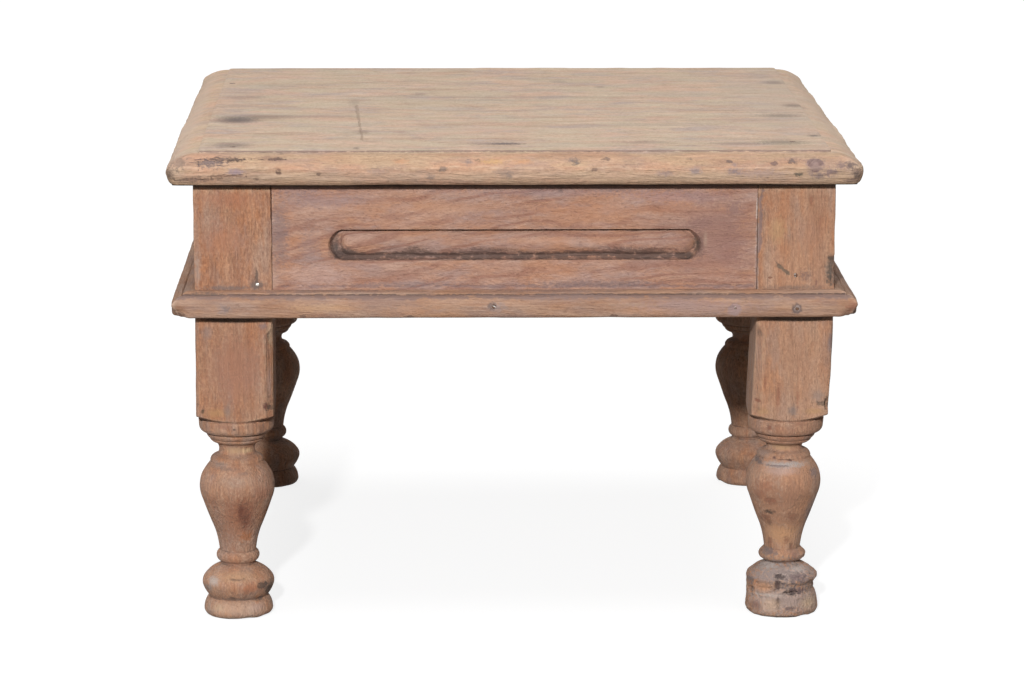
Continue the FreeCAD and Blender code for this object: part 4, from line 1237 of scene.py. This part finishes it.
def weathered_top(top, ring, section):
    """Wear on the boards: a waving ridge along the nose, hollows in the field, bruises and dents."""
    worn = top.copy()
    slope = section[ring, 1] - border_step
    on_edge = ring < len(section) - 4
    plan = np.abs(top[..., :2])
    corner = ease(plan.min(-1), top_half - 0.012, top_half - 0.002)
    on_nose = np.exp(-((section[ring, 1] - ridge_drop) / ridge_width) ** 2) * on_edge * (1 - corner)
    outward = np.zeros_like(top)
    side_first = plan[..., 0] > plan[..., 1]
    outward[..., 0] = np.sign(top[..., 0]) * np.where(side_first, 1, corner)
    outward[..., 1] = np.sign(top[..., 1]) * np.where(side_first, corner, 1)
    outward /= np.maximum(np.linalg.norm(outward, axis=-1, keepdims=True), 1e-9)
    along = np.where(side_first[..., None], top[..., [1, 0, 2]], top) * np.array([1, 0, 0])
    along = along + side_first[..., None] * 3.0
    wave = cloud(along, (0.035, 1, 1), 401) + 0.6 * cloud(along, (0.010, 1, 1), 402)
    worn[..., 2] += on_nose * 0.0007 * wave
    worn += outward * (on_nose * 0.0005)[..., None]
    fine_cells = np.where(side_first[..., None], np.array([0.012, 0.030, 0.0016]),
                          np.array([0.030, 0.012, 0.0016]))
    worn -= outward * (on_edge * uneven(top, 0.00018, (0.03, 0.03, 0.004), 403))[..., None]
    worn -= outward * (on_edge * 0.00025 * (1 - corner) * cloud(top, fine_cells, 404))[..., None]
    worn -= outward * (on_edge * 0.00020 * cloud(top, (0.005, 0.005, 0.0020), 410))[..., None]
    gouged = np.clip(cloud(top, (0.02, 0.02, 0.006), 405) - 0.45, 0, 1) * (1 - 0.8 * corner)
    worn -= outward * (on_edge * 0.0014 * gouged)[..., None]
    worn[..., 2] -= on_edge * uneven(top, 0.0002, (0.04, 0.02, 0.01), 406) * ease(slope, 0.0, 0.004)
    worn[..., 2] -= ~on_edge * uneven(top, 0.00018, (0.12, 0.025, 0.1), 407)
    worn[..., 2] -= ~on_edge * uneven(top, 0.00008, (0.05, 0.007, 0.1), 408)
    field = top_half - section[-1, 0]
    lip = (ring == len(section) - 1) & (np.abs(plan.max(-1) - field) < 0.001)
    worn[..., 2] -= lip * uneven(top, 0.0003, (0.015, 0.015, 0.1), 409)
    return worn


def board(name, top, under):
    """A board from its two sheets, closed where it meets its neighbour."""
    count_x, count_y = top.shape[:2]
    i, j = np.meshgrid(np.arange(count_x - 1), np.arange(count_y - 1), indexing="ij")
    here, beyond, beneath = i * count_y + j, (i + 1) * count_y + j, count_x * count_y
    upper = np.stack([here, beyond, beyond + 1, here + 1], -1).reshape(-1, 4)
    start = 0 if abs(top[count_x // 2, 0, 1] - joint_place) < 0.001 else count_y - 1
    line_here = np.arange(count_x - 1) * count_y + start
    line_beyond = line_here + count_y
    at_joint = np.stack([line_here, line_beyond, line_beyond + beneath, line_here + beneath], -1)
    faces = np.vstack([upper, upper[:, ::-1] + beneath, at_joint]).tolist()
    return meshed(name, np.vstack([top.reshape(-1, 3), under.reshape(-1, 3)]), faces)


def clear_of_joint(places):
    """One everywhere but beside the boards' joint and the step, which show little of a rubbed edge."""
    from_step = np.abs(np.abs(places[:, :2]).max(-1) - (top_half - border_width))
    from_joint = np.abs(places[:, 1] - joint_place)
    return ease(from_joint, 0.002, 0.006) * (0.15 + 0.85 * ease(from_step, 0.0010, 0.0025))


purple_stain = (0.26, 0.19, 0.185)
nose_front = -229
top_marks = (
    haze((0, -231, 305.5), (800, 5, 7.5), (0.64, 0.46, 0.34), 0.42, 1.0),
    haze((205, 20, 321), (70, 240, 10), (0.48, 0.385, 0.315), 0.42, 1.6),
    # Lighter, pinker hazes over the sloping side borders: a pinker tone, and painted light on borders
    # that the front lamp reaches only at a slant.
    haze((-226, 0, 315), (16, 500, 14), (0.6, 0.46, 0.365), 0.62, 0.8),
    haze((226, 0, 315), (16, 500, 14), (0.6, 0.46, 0.355), 0.62, 0.8),
    haze((-190, -70, 321), (23, 23, 10), iron_stain, 0.8, 1.0),
    haze((-175, -55, 321), (42, 16, 10), iron_stain, 0.4, 1.6),
    haze((-130, -52, 321), (50, 10, 10), (0.24, 0.19, 0.18), 0.35, 1.8),
    haze((-188, -185, 321), (20, 18, 10), iron_stain, 0.48, 1.4),
    haze((-190, 45, 321), (24, 16, 10), iron_stain, 0.3, 1.4),
    haze((0, 45, 321), (160, 10, 10), (0.28, 0.22, 0.19), 0.35, 2.0),
    haze((-20, 30, 321), (90, 6, 10), (0.28, 0.21, 0.19), 0.35, 2.0),
    haze((201, 122, 321), (13, 14, 10), iron_stain, 0.45, 1.4),
    haze((204, -1, 321), (13, 14, 10), iron_stain, 0.5, 1.4),
    haze((190, -51, 321), (24, 14, 10), iron_stain, 0.45, 1.6),
    haze((180, -176, 321), (24, 16, 10), iron_stain, 0.5, 1.5),
    haze((150, -182, 321), (30, 9, 10), iron_stain, 0.32, 1.8),
    haze((90, -176, 321), (24, 12, 10), iron_stain, 0.3, 1.8),
    spot((-5, -182, 321), (14, 6, 8), iron_stain, 0.7, 0.6, 2.4, 0.35),
    haze((-15, -182, 321), (28, 10, 8), iron_stain, 0.35, 1.6),
    line((-108.5, 5, 321), (-105, -80, 321), 1.6, (0.3, 0.22, 0.16), 0.6, 0.8, 1.6),
    line((-105, -80, 321), (-101.5, -165, 321), 1.3, (0.3, 0.21, 0.15), 0.6, 0.8, 2.0),
    haze((-110.5, 20, 321), (6, 30, 8), (0.3, 0.24, 0.19), 0.45, 1.8),
    haze((-102, -128, 321), (8, 16, 8), (0.27, 0.19, 0.15), 0.6, 2.0),
    haze((-76, -128, 321), (8, 8, 8), (0.36, 0.22, 0.18), 0.5, 2.0),
    haze((-105, -200, 321), (3, 8, 6), (0.2, 0.15, 0.12), 0.7, 2.0),
    haze((-64, -155, 321), (6, 10, 8), (0.36, 0.26, 0.2), 0.45, 2.0),
    line((150, -36.2, 321), (209, -36.2, 321), 1, (0.17, 0.13, 0.11), 0.65, 0.8, 1.6),
    line((211, -36.2, 319), (229, -36.2, 312), 0.8, (0.19, 0.14, 0.12), 0.5, 0.8, 1.2),
    haze((204, -147, 321), (6, 6, 6), (0.13, 0.1, 0.09), 0.75, 1.8),
    haze((40, 130, 321), (10, 14, 8), (0.25, 0.19, 0.16), 0.45, 1.8),
    haze((70, 98, 321), (6, 10, 8), (0.25, 0.19, 0.16), 0.5, 1.8),
    haze((-64, 60, 321), (7, 16, 8), (0.28, 0.22, 0.19), 0.45, 1.8),
    haze((-160, 110, 321), (50, 12, 10), (0.3, 0.24, 0.2), 0.35, 2.0),
    haze((120, 60, 321), (60, 12, 10), (0.32, 0.25, 0.22), 0.35, 2.0),
    haze((90, -95, 321), (70, 10, 10), (0.34, 0.26, 0.23), 0.35, 2.0),
    haze((-20, -115, 321), (60, 14, 10), (0.52, 0.36, 0.29), 0.4, 2.0),
    line((-208, -209.6, 320.2), (208, -209.6, 320.2), 1.4, (0.25, 0.175, 0.145), 0.85, 0.0, 0.5),
    line((-149, -206, 321), (-140, -206, 321), 1.2, (0.74, 0.58, 0.42), 0.8, 0.0, 2.0),
    haze((-154, -212, 319.5), (3, 3, 2.2), (0.17, 0.12, 0.1), 0.6, 2.0),
    spot((-157.5, -221.2, 316.7), (5.2, 6, 1.3), (0.08, 0.05, 0.055), 0.9, 1.0, 3.0, 0.2),
    line((-169, -221.6, 316.5), (-151, -221.1, 316.8), 1.1, (0.1, 0.065, 0.055), 0.9, 1.2, 3.0),
    haze((-162, -220, 317.2), (12, 6, 2.4), (0.22, 0.13, 0.1), 0.6, 2.4),
    line((-210.3, -221.5, 316.6), (-201.8, -219.7, 317.3), 0.9, (0.14, 0.09, 0.075), 0.85, 1.2, 4.0),
    line((-201.8, -219.7, 317.3), (-193.2, -222.1, 316.3), 0.8, (0.13, 0.08, 0.07), 0.85, 1.0, 5.0),
    spot((-190, -221.2, 316.7), (16, 6, 1.3), (0.17, 0.115, 0.095), 0.75, 0.8, 4.6, 0.2),
    spot((-183, -222.5, 316.2), (7, 6, 1.3), (0.11, 0.072, 0.06), 0.8, 0.8, 4.0, 0.2),
    haze((-200, -225, 314.8), (13, 8, 4.4), (0.26, 0.195, 0.18), 0.8, 2.6),
    spot((-201, -224.5, 315), (11, 8, 3.4), (0.19, 0.135, 0.125), 0.65, 0.8, 5.0, 0.1),
    line((-208.3, -223, 316), (-207.4, -229.6, 310.6), 0.8, (0.15, 0.105, 0.09), 0.8, 1.0, 4.0),
    spot((-221, -224.5, 314.5), (6, 10, 5), (0.2, 0.14, 0.11), 0.6, 0.8, 4.6, 0.2),
    haze((-183.5, -229.8, 309.5), (7.5, 6, 3), (0.33, 0.245, 0.27), 0.85, 1.8),
    spot((-155.3, nose_front, 308.8), (2.2, 6, 1.2), (0.12, 0.07, 0.055), 0.85, 0.8, 2.0),
    line((-223, -228.5, 311), (-199, nose_front, 309.5), 0.9, (0.24, 0.14, 0.1), 0.7, 1.0, 4.0),
    spot((-189, nose_front, 306.6), (16, 6, 1.3), (0.26, 0.155, 0.11), 0.6, 0.8, 4.4, 0.2),
    spot((-206, nose_front, 304.3), (18, 6, 1.6), (0.22, 0.14, 0.105), 0.6, 0.8, 4.4, 0.1),
    haze((-227, -228, 308), (6, 10, 5.2), (0.18, 0.125, 0.095), 0.8, 2.2),
    haze((-213, nose_front, 304), (14, 8, 3.4), (0.22, 0.14, 0.11), 0.6, 2.2),
    haze((37.8, -224, 317.2), (7, 6, 3.4), (0.13, 0.11, 0.105), 0.85, 2.4),
    spot((40, -226, 314.8), (3.4, 6, 1.8), (0.13, 0.11, 0.105), 0.75, 0.8, 2.4, 0.35),
    spot((60, -224, 316.8), (4, 6, 1.6), (0.15, 0.11, 0.1), 0.75, 0.8, 2.4, 0.35),
    spot((52, nose_front, 310.5), (2.6, 6, 1.4), (0.17, 0.11, 0.09), 0.7, 0.8, 2.4, 0.35),
    spot((115, -224, 317), (3.4, 6, 1.2), (0.17, 0.13, 0.12), 0.7, 0.6, 2.4, 0.35),
    haze((98, nose_front, 308), (8, 6, 3), (0.26, 0.2, 0.2), 0.55, 2.0),
    spot((-47.7, nose_front, 311.3), (3.4, 6, 2.4), (0.18, 0.14, 0.12), 0.7, 0.8, 2.4, 0.35),
    haze((-90, nose_front, 310), (10, 6, 3.4), (0.27, 0.19, 0.16), 0.55, 2.2),
    haze((-75, -225, 316), (8, 6, 3), (0.48, 0.24, 0.13), 0.65, 1.8),
    haze((-15, -225, 316), (12, 6, 3.4), (0.54, 0.33, 0.14), 0.65, 1.8),
    haze((5, -225, 315.5), (10, 6, 3), (0.52, 0.27, 0.13), 0.55, 1.8),
    spot((-25, -225, 317), (3, 6, 2.2), (0.2, 0.15, 0.1), 0.7, 0.5, 2.4, 0.35),
    haze((-31, -225, 316), (3.4, 6, 4.4), (0.22, 0.17, 0.16), 0.7, 1.8),
    haze((-8, nose_front, 308.5), (8, 6, 4), (0.28, 0.2, 0.16), 0.55, 2.2),
    haze((-56, nose_front, 306), (4, 6, 4), (0.22, 0.17, 0.15), 0.65, 2.2),
    haze((-4, nose_front, 307), (3, 6, 3.6), (0.22, 0.17, 0.15), 0.6, 2.2),
    spot((-155, nose_front, 310.8), (2.4, 6, 1.3), (0.15, 0.09, 0.07), 0.7, 0.8, 2.4, 0.35),
    spot((-129, nose_front, 308), (2.2, 6, 1.4), (0.14, 0.09, 0.07), 0.7, 0.8, 2.4, 0.35),
    spot((-170, nose_front, 304.5), (2.4, 6, 1.4), (0.14, 0.09, 0.07), 0.65, 0.8, 2.4, 0.35),
    haze((118, nose_front, 309.5), (6, 6, 3.4), (0.26, 0.21, 0.22), 0.7, 2.0),
    haze((144, -227, 313.5), (3, 6, 2), purple_stain, 0.65, 2.0),
    haze((197.5, -226.8, 313), (9.8, 12, 9.8), (0.27, 0.185, 0.165), 0.95),
    haze((160, nose_front, 308), (26, 6, 4), (0.38, 0.27, 0.25), 0.55, 2.2),
    spot((182.5, -224.3, 315.2), (5.4, 6, 2.2), (0.15, 0.11, 0.1), 0.85, 0.8, 3.2, 0.1),
    spot((170, -225.9, 314.2), (3, 6, 1.4), (0.17, 0.11, 0.1), 0.75, 0.6, 2.4),
    spot((186.1, nose_front, 307.4), (4.6, 6, 2), (0.12, 0.105, 0.08), 0.8, 0.8, 3.2, 0.1),
    haze((144, nose_front, 309.2), (6, 6, 3.6), (0.25, 0.19, 0.19), 0.85, 1.8),
    spot((140.9, -224.2, 315.2), (2.6, 6, 1.2), (0.14, 0.1, 0.09), 0.8, 0.5, 2.2),
    haze((199.5, nose_front, 306.3), (8, 6, 3), (0.21, 0.155, 0.15), 0.8, 2.2),
    haze((207.5, nose_front, 308.5), (6, 6, 4.2), (0.21, 0.145, 0.145), 0.85, 2.2),
    haze((215, -227.5, 313), (6, 8, 3.6), (0.19, 0.13, 0.125), 0.75, 2.4),
    haze((220.6, -227, 313), (5, 8, 3), (0.12, 0.085, 0.08), 0.85, 2.2),
    haze((224.5, -228, 307.5), (5, 10, 6), (0.12, 0.085, 0.075), 0.85, 2.2),
    haze((221.5, -228.6, 303), (8, 10, 2.6), (0.17, 0.11, 0.09), 0.75, 2.2),
    # Dark haze along the bottom of the nose, where it turns under: painted shade.
    haze((0, nose_front, 301.5), (230, 4, 2.2), (0.22, 0.13, 0.09), 0.55, 2.4),
)
top_wood = dict(
    pale=(0.678, 0.521, 0.395), dark=(0.470, 0.330, 0.238), grey=(0.490, 0.395, 0.352),
    warm=(0.660, 0.450, 0.335), bleached=(0.600, 0.505, 0.370), edge_pale_and_highlight=(0.64, 0.46, 0.33), rings=0.22,
    bands=0.80, fibres=0.28, mottle=0.45, greyed=0.85, warmed=0.75, bleaching=0.70, rubbing_and_highlight=0.50,
    relief=0.0005, broad=2.2, lower=(0.3192, -0.2095, (0.880, 0.740, 0.650), (1.060, 1.000, 0.940)),
    marks=top_marks)
teak_front_board = teak("teak_front_board", "X", (0.10, -0.30, 0.24), (0.0, 0.012, 0.010),
                        ring_width=0.0095, waviness=0.018, **top_wood)
teak_back_board = teak("teak_back_board", "X", (0.25, 0.32, 0.20), (0.0, -0.015, -0.012),
                       ring_width=0.0105, waviness=0.020, **top_wood)
top, under, ring, section, meeting = top_sheets()
top = weathered_top(top, ring, section)
under[ring == 0] = top[ring == 0]
for side, material, part in (("front", teak_front_board, slice(None, meeting)),
                             ("back", teak_back_board, slice(meeting, None))):
    piece = board("top_board_" + side + "_old_teak", top[:, part], under[:, part])
    note_wear(piece, worn_range=(0.00012, 0.0005), hollow_range=(0.00012, 0.0005), kept=clear_of_joint)
    fitted(piece, material, "teak_top", "top_board_" + side)

# The plug
# A round peg of darker wood, driven into the nose near the front right corner from above and in
# front, and cut off along the moulded edge. It shows its end grain.

plug_radius = 0.0058
plug_place = 0.1973
plug_tilt = math.radians(40)


def plug_loops():
    """The peg's loops: its end follows the nose, a hair proud, and its shank runs into the board."""
    inward = np.array([0, math.cos(plug_tilt), -math.sin(plug_tilt)])
    upward = np.array([0, math.sin(plug_tilt), math.cos(plug_tilt)])
    section_line = top_section()
    section_line = section_line[section_line[:, 0] < border_width][::-1]
    surface = np.stack([-top_half + section_line[:, 0], top_height - section_line[:, 1]], -1)
    aim = np.array([plug_place, -top_half + 0.15 * border_width, top_height - 0.33 * top_thickness])
    along = (surface - aim[1:]) @ inward[1:]
    beside = (surface - aim[1:]) @ upward[1:]
    order = np.argsort(beside)
    angle = np.linspace(0, math.tau, 49)[:-1]
    rows = []
    for share in (0.02, 0.2, 0.4, 0.6, 0.75, 0.88, 0.96, 1.0):
        x = plug_place + plug_radius * share * np.cos(angle)
        up = plug_radius * share * np.sin(angle)
        depth = np.interp(up, beside[order], along[order]) + 0.00005 + 0.0003 * share ** 8
        rows.append(aim + np.outer(x - plug_place, [1, 0, 0]) + np.outer(up, upward)
                    + np.outer(depth, inward))
    rows.append(rows[-1] + inward * 0.006)
    return np.array(rows)


plug_x = plug_place * 1000
plug_marks = (
    haze((plug_x, -226.5, 314.5), (4, 6, 3.6), (0.36, 0.25, 0.22), 0.55, 2.4),
    spot((plug_x - 3, -226.5, 317), (3, 6, 1.8), (0.19, 0.13, 0.13), 0.6, 0.5, 2.4, 0.35),
    spot((plug_x + 3, -226.5, 312), (2.4, 6, 1.4), (0.19, 0.13, 0.13), 0.5, 0.5, 2.4, 0.35),
)
teak_plug = teak(
    "teak_plug", "Y", (plug_place - 0.02, -0.1, 0.30), (0.0, 0.0, 0.7), pale=(0.265, 0.175, 0.155),
    dark=(0.160, 0.100, 0.092), grey=(0.200, 0.145, 0.145), warm=(0.28, 0.165, 0.135),
    bleached=(0.30, 0.22, 0.20), ring_width=0.0022, waviness=0.004, mottle=0.5, marks=plug_marks)
plug = skin("edge_plug_teak", plug_loops())
note_wear(plug, worn_range=(0.00005, 0.0003), hollow_range=(0.00005, 0.0003), passes=4)
fitted(plug, teak_plug, "teak_plug", "edge_plug")

# The nails of the top
# Three cut iron nails at each side hold the boards down into the posts and the side aprons. Their
# hammered heads lie level with the wood, dark with rust, in the stains that they have made.

top_nail_head_radius = 0.0025 * 0.9
top_nail_length = 0.044
top_nail_sink = 0.0004
top_nails = {
    "left": ((-0.187, -0.1930), (-0.203, -0.0720), (-0.203, 0.1220)),
    "right": ((0.187, -0.1740), (0.203, -0.0011), (0.203, 0.1220)),
}
for number, (side, heads) in enumerate(top_nails.items()):
    fit_iron("top_nails_" + side, [
        nail_places((x, y, top_height - top_nail_sink), (0, 0, 1), top_nail_head_radius, top_nail_length,
                    nail_proud, 340 + number) for x, y in heads], old_iron)

# The studio
# A plain white floor under a soft lamp in front and a soft light from overhead. The floor keeps a
# soft shadow of the table, and it is clear from below, so that the underside can be looked at.

floor_reach = 9.0
floor_level = -0.0002
paper_tint = 0.25
paper_glow = 0.83
table_side_tint = (0.15, 0.143, 0.135)
air_light = 0.13
lamp_watts = 97
overhead_strength = 2.0
overhead_spread = math.radians(50)
focal_pixels = 3800.0
picture_width = 1024.0
sensor_width = 36.0
camera_place = (-0.05755, -2.69416, 0.69987)
camera_yaw = math.radians(1.287)
camera_pitch = math.radians(11.558)
camera_roll = math.radians(0.110)

floor_mesh = bpy.data.meshes.new("studio_floor")
floor_corners = [(x * floor_reach, y * floor_reach, floor_level)
                 for x, y in ((-1, -1), (1, -1), (1, 1), (-1, 1))]
floor_mesh.from_pydata(floor_corners, [], [(0, 1, 2, 3)])
floor = in_scene("studio_floor", floor_mesh)


def seen_straight(tree):
    """One for rays that come from the camera, also by way of metal or glass."""
    seen = put(tree, "LightPath").outputs
    mirrored = sum_up(tree, "MAXIMUM", seen["Is Glossy Ray"], seen["Is Transmission Ray"])
    return sum_up(tree, "MAXIMUM", seen["Is Camera Ray"], mirrored)


paper = bpy.data.materials.new("white_paper")
paper.use_nodes = True
tree = paper.node_tree
tree.nodes.clear()
direct = seen_straight(tree)
shaded = put(tree, "BsdfDiffuse", (paper_tint, paper_tint, paper_tint, 1)).outputs[0]
glowing = put(tree, "Emission", (1, 1, 1, 1), paper_glow).outputs[0]
white_to_camera = put(tree, "AddShader", shaded, glowing).outputs[0]
grey_to_table = put(tree, "BsdfDiffuse", (*table_side_tint, 1)).outputs[0]
both = put(tree, "MixShader", direct, grey_to_table, white_to_camera).outputs[0]
clear = put(tree, "BsdfTransparent").outputs[0]
faced = put(tree, "MixShader", put(tree, "NewGeometry").outputs["Backfacing"], both, clear).outputs[0]
tree.links.new(faced, put(tree, "OutputMaterial").inputs["Surface"])
floor_mesh.materials.append(paper)

world = bpy.data.worlds.new("studio_air")
bpy.context.scene.world = world
world.use_nodes = True
tree = world.node_tree
tree.nodes.clear()
air = put(tree, "Background", (1, 0.99, 0.98, 1), air_light).outputs[0]
backdrop = put(tree, "Background", (1, 1, 1, 1), 1.0).outputs[0]
mixed = put(tree, "MixShader", seen_straight(tree), air, backdrop).outputs[0]
tree.links.new(mixed, put(tree, "OutputWorld").inputs["Surface"])


def soft_lamp(name, place, aim, width, depth, watts):
    """A wide soft lamp pointed at a place."""
    lamp = bpy.data.lights.new(name, "AREA")
    lamp.shape = "RECTANGLE"
    lamp.size = width
    lamp.size_y = depth
    lamp.energy = watts
    holder = in_scene(name, lamp)
    holder.location = place
    away = holder.location.copy()
    away[:] = [aim[i] - place[i] for i in range(3)]
    holder.rotation_euler = away.to_track_quat("-Z", "Y").to_euler()


soft_lamp("front_lamp", (-0.42, -3.0, 1.32), (0, 0, 0.2), 0.12, 0.16, lamp_watts)

overhead = bpy.data.lights.new("overhead_light", "SUN")
overhead.energy = overhead_strength
overhead.angle = overhead_spread
in_scene("overhead_light", overhead).location = (0, 0, 2.0)

camera = bpy.data.cameras.new("camera")
camera.sensor_width = sensor_width
camera.lens = focal_pixels / picture_width * sensor_width
camera.clip_end = 100
viewer = in_scene("camera", camera)
viewer.location = camera_place
viewer.rotation_mode = "XYZ"
forward = np.array([math.sin(camera_yaw) * math.cos(camera_pitch),
                    math.cos(camera_yaw) * math.cos(camera_pitch), -math.sin(camera_pitch)])
rightward = np.array([math.cos(camera_yaw), -math.sin(camera_yaw), 0])
upward = np.cross(rightward, forward)
rolled_right = math.cos(camera_roll) * rightward + math.sin(camera_roll) * upward
rolled_up = -math.sin(camera_roll) * rightward + math.cos(camera_roll) * upward
facing = viewer.matrix_world.to_3x3()
for row in range(3):
    facing[row] = (rolled_right[row], rolled_up[row], -forward[row])
viewer.rotation_euler = facing.to_euler()
bpy.context.scene.camera = viewer
bpy.context.scene.view_settings.view_transform = "Standard"

bpy.context.view_layer.update()
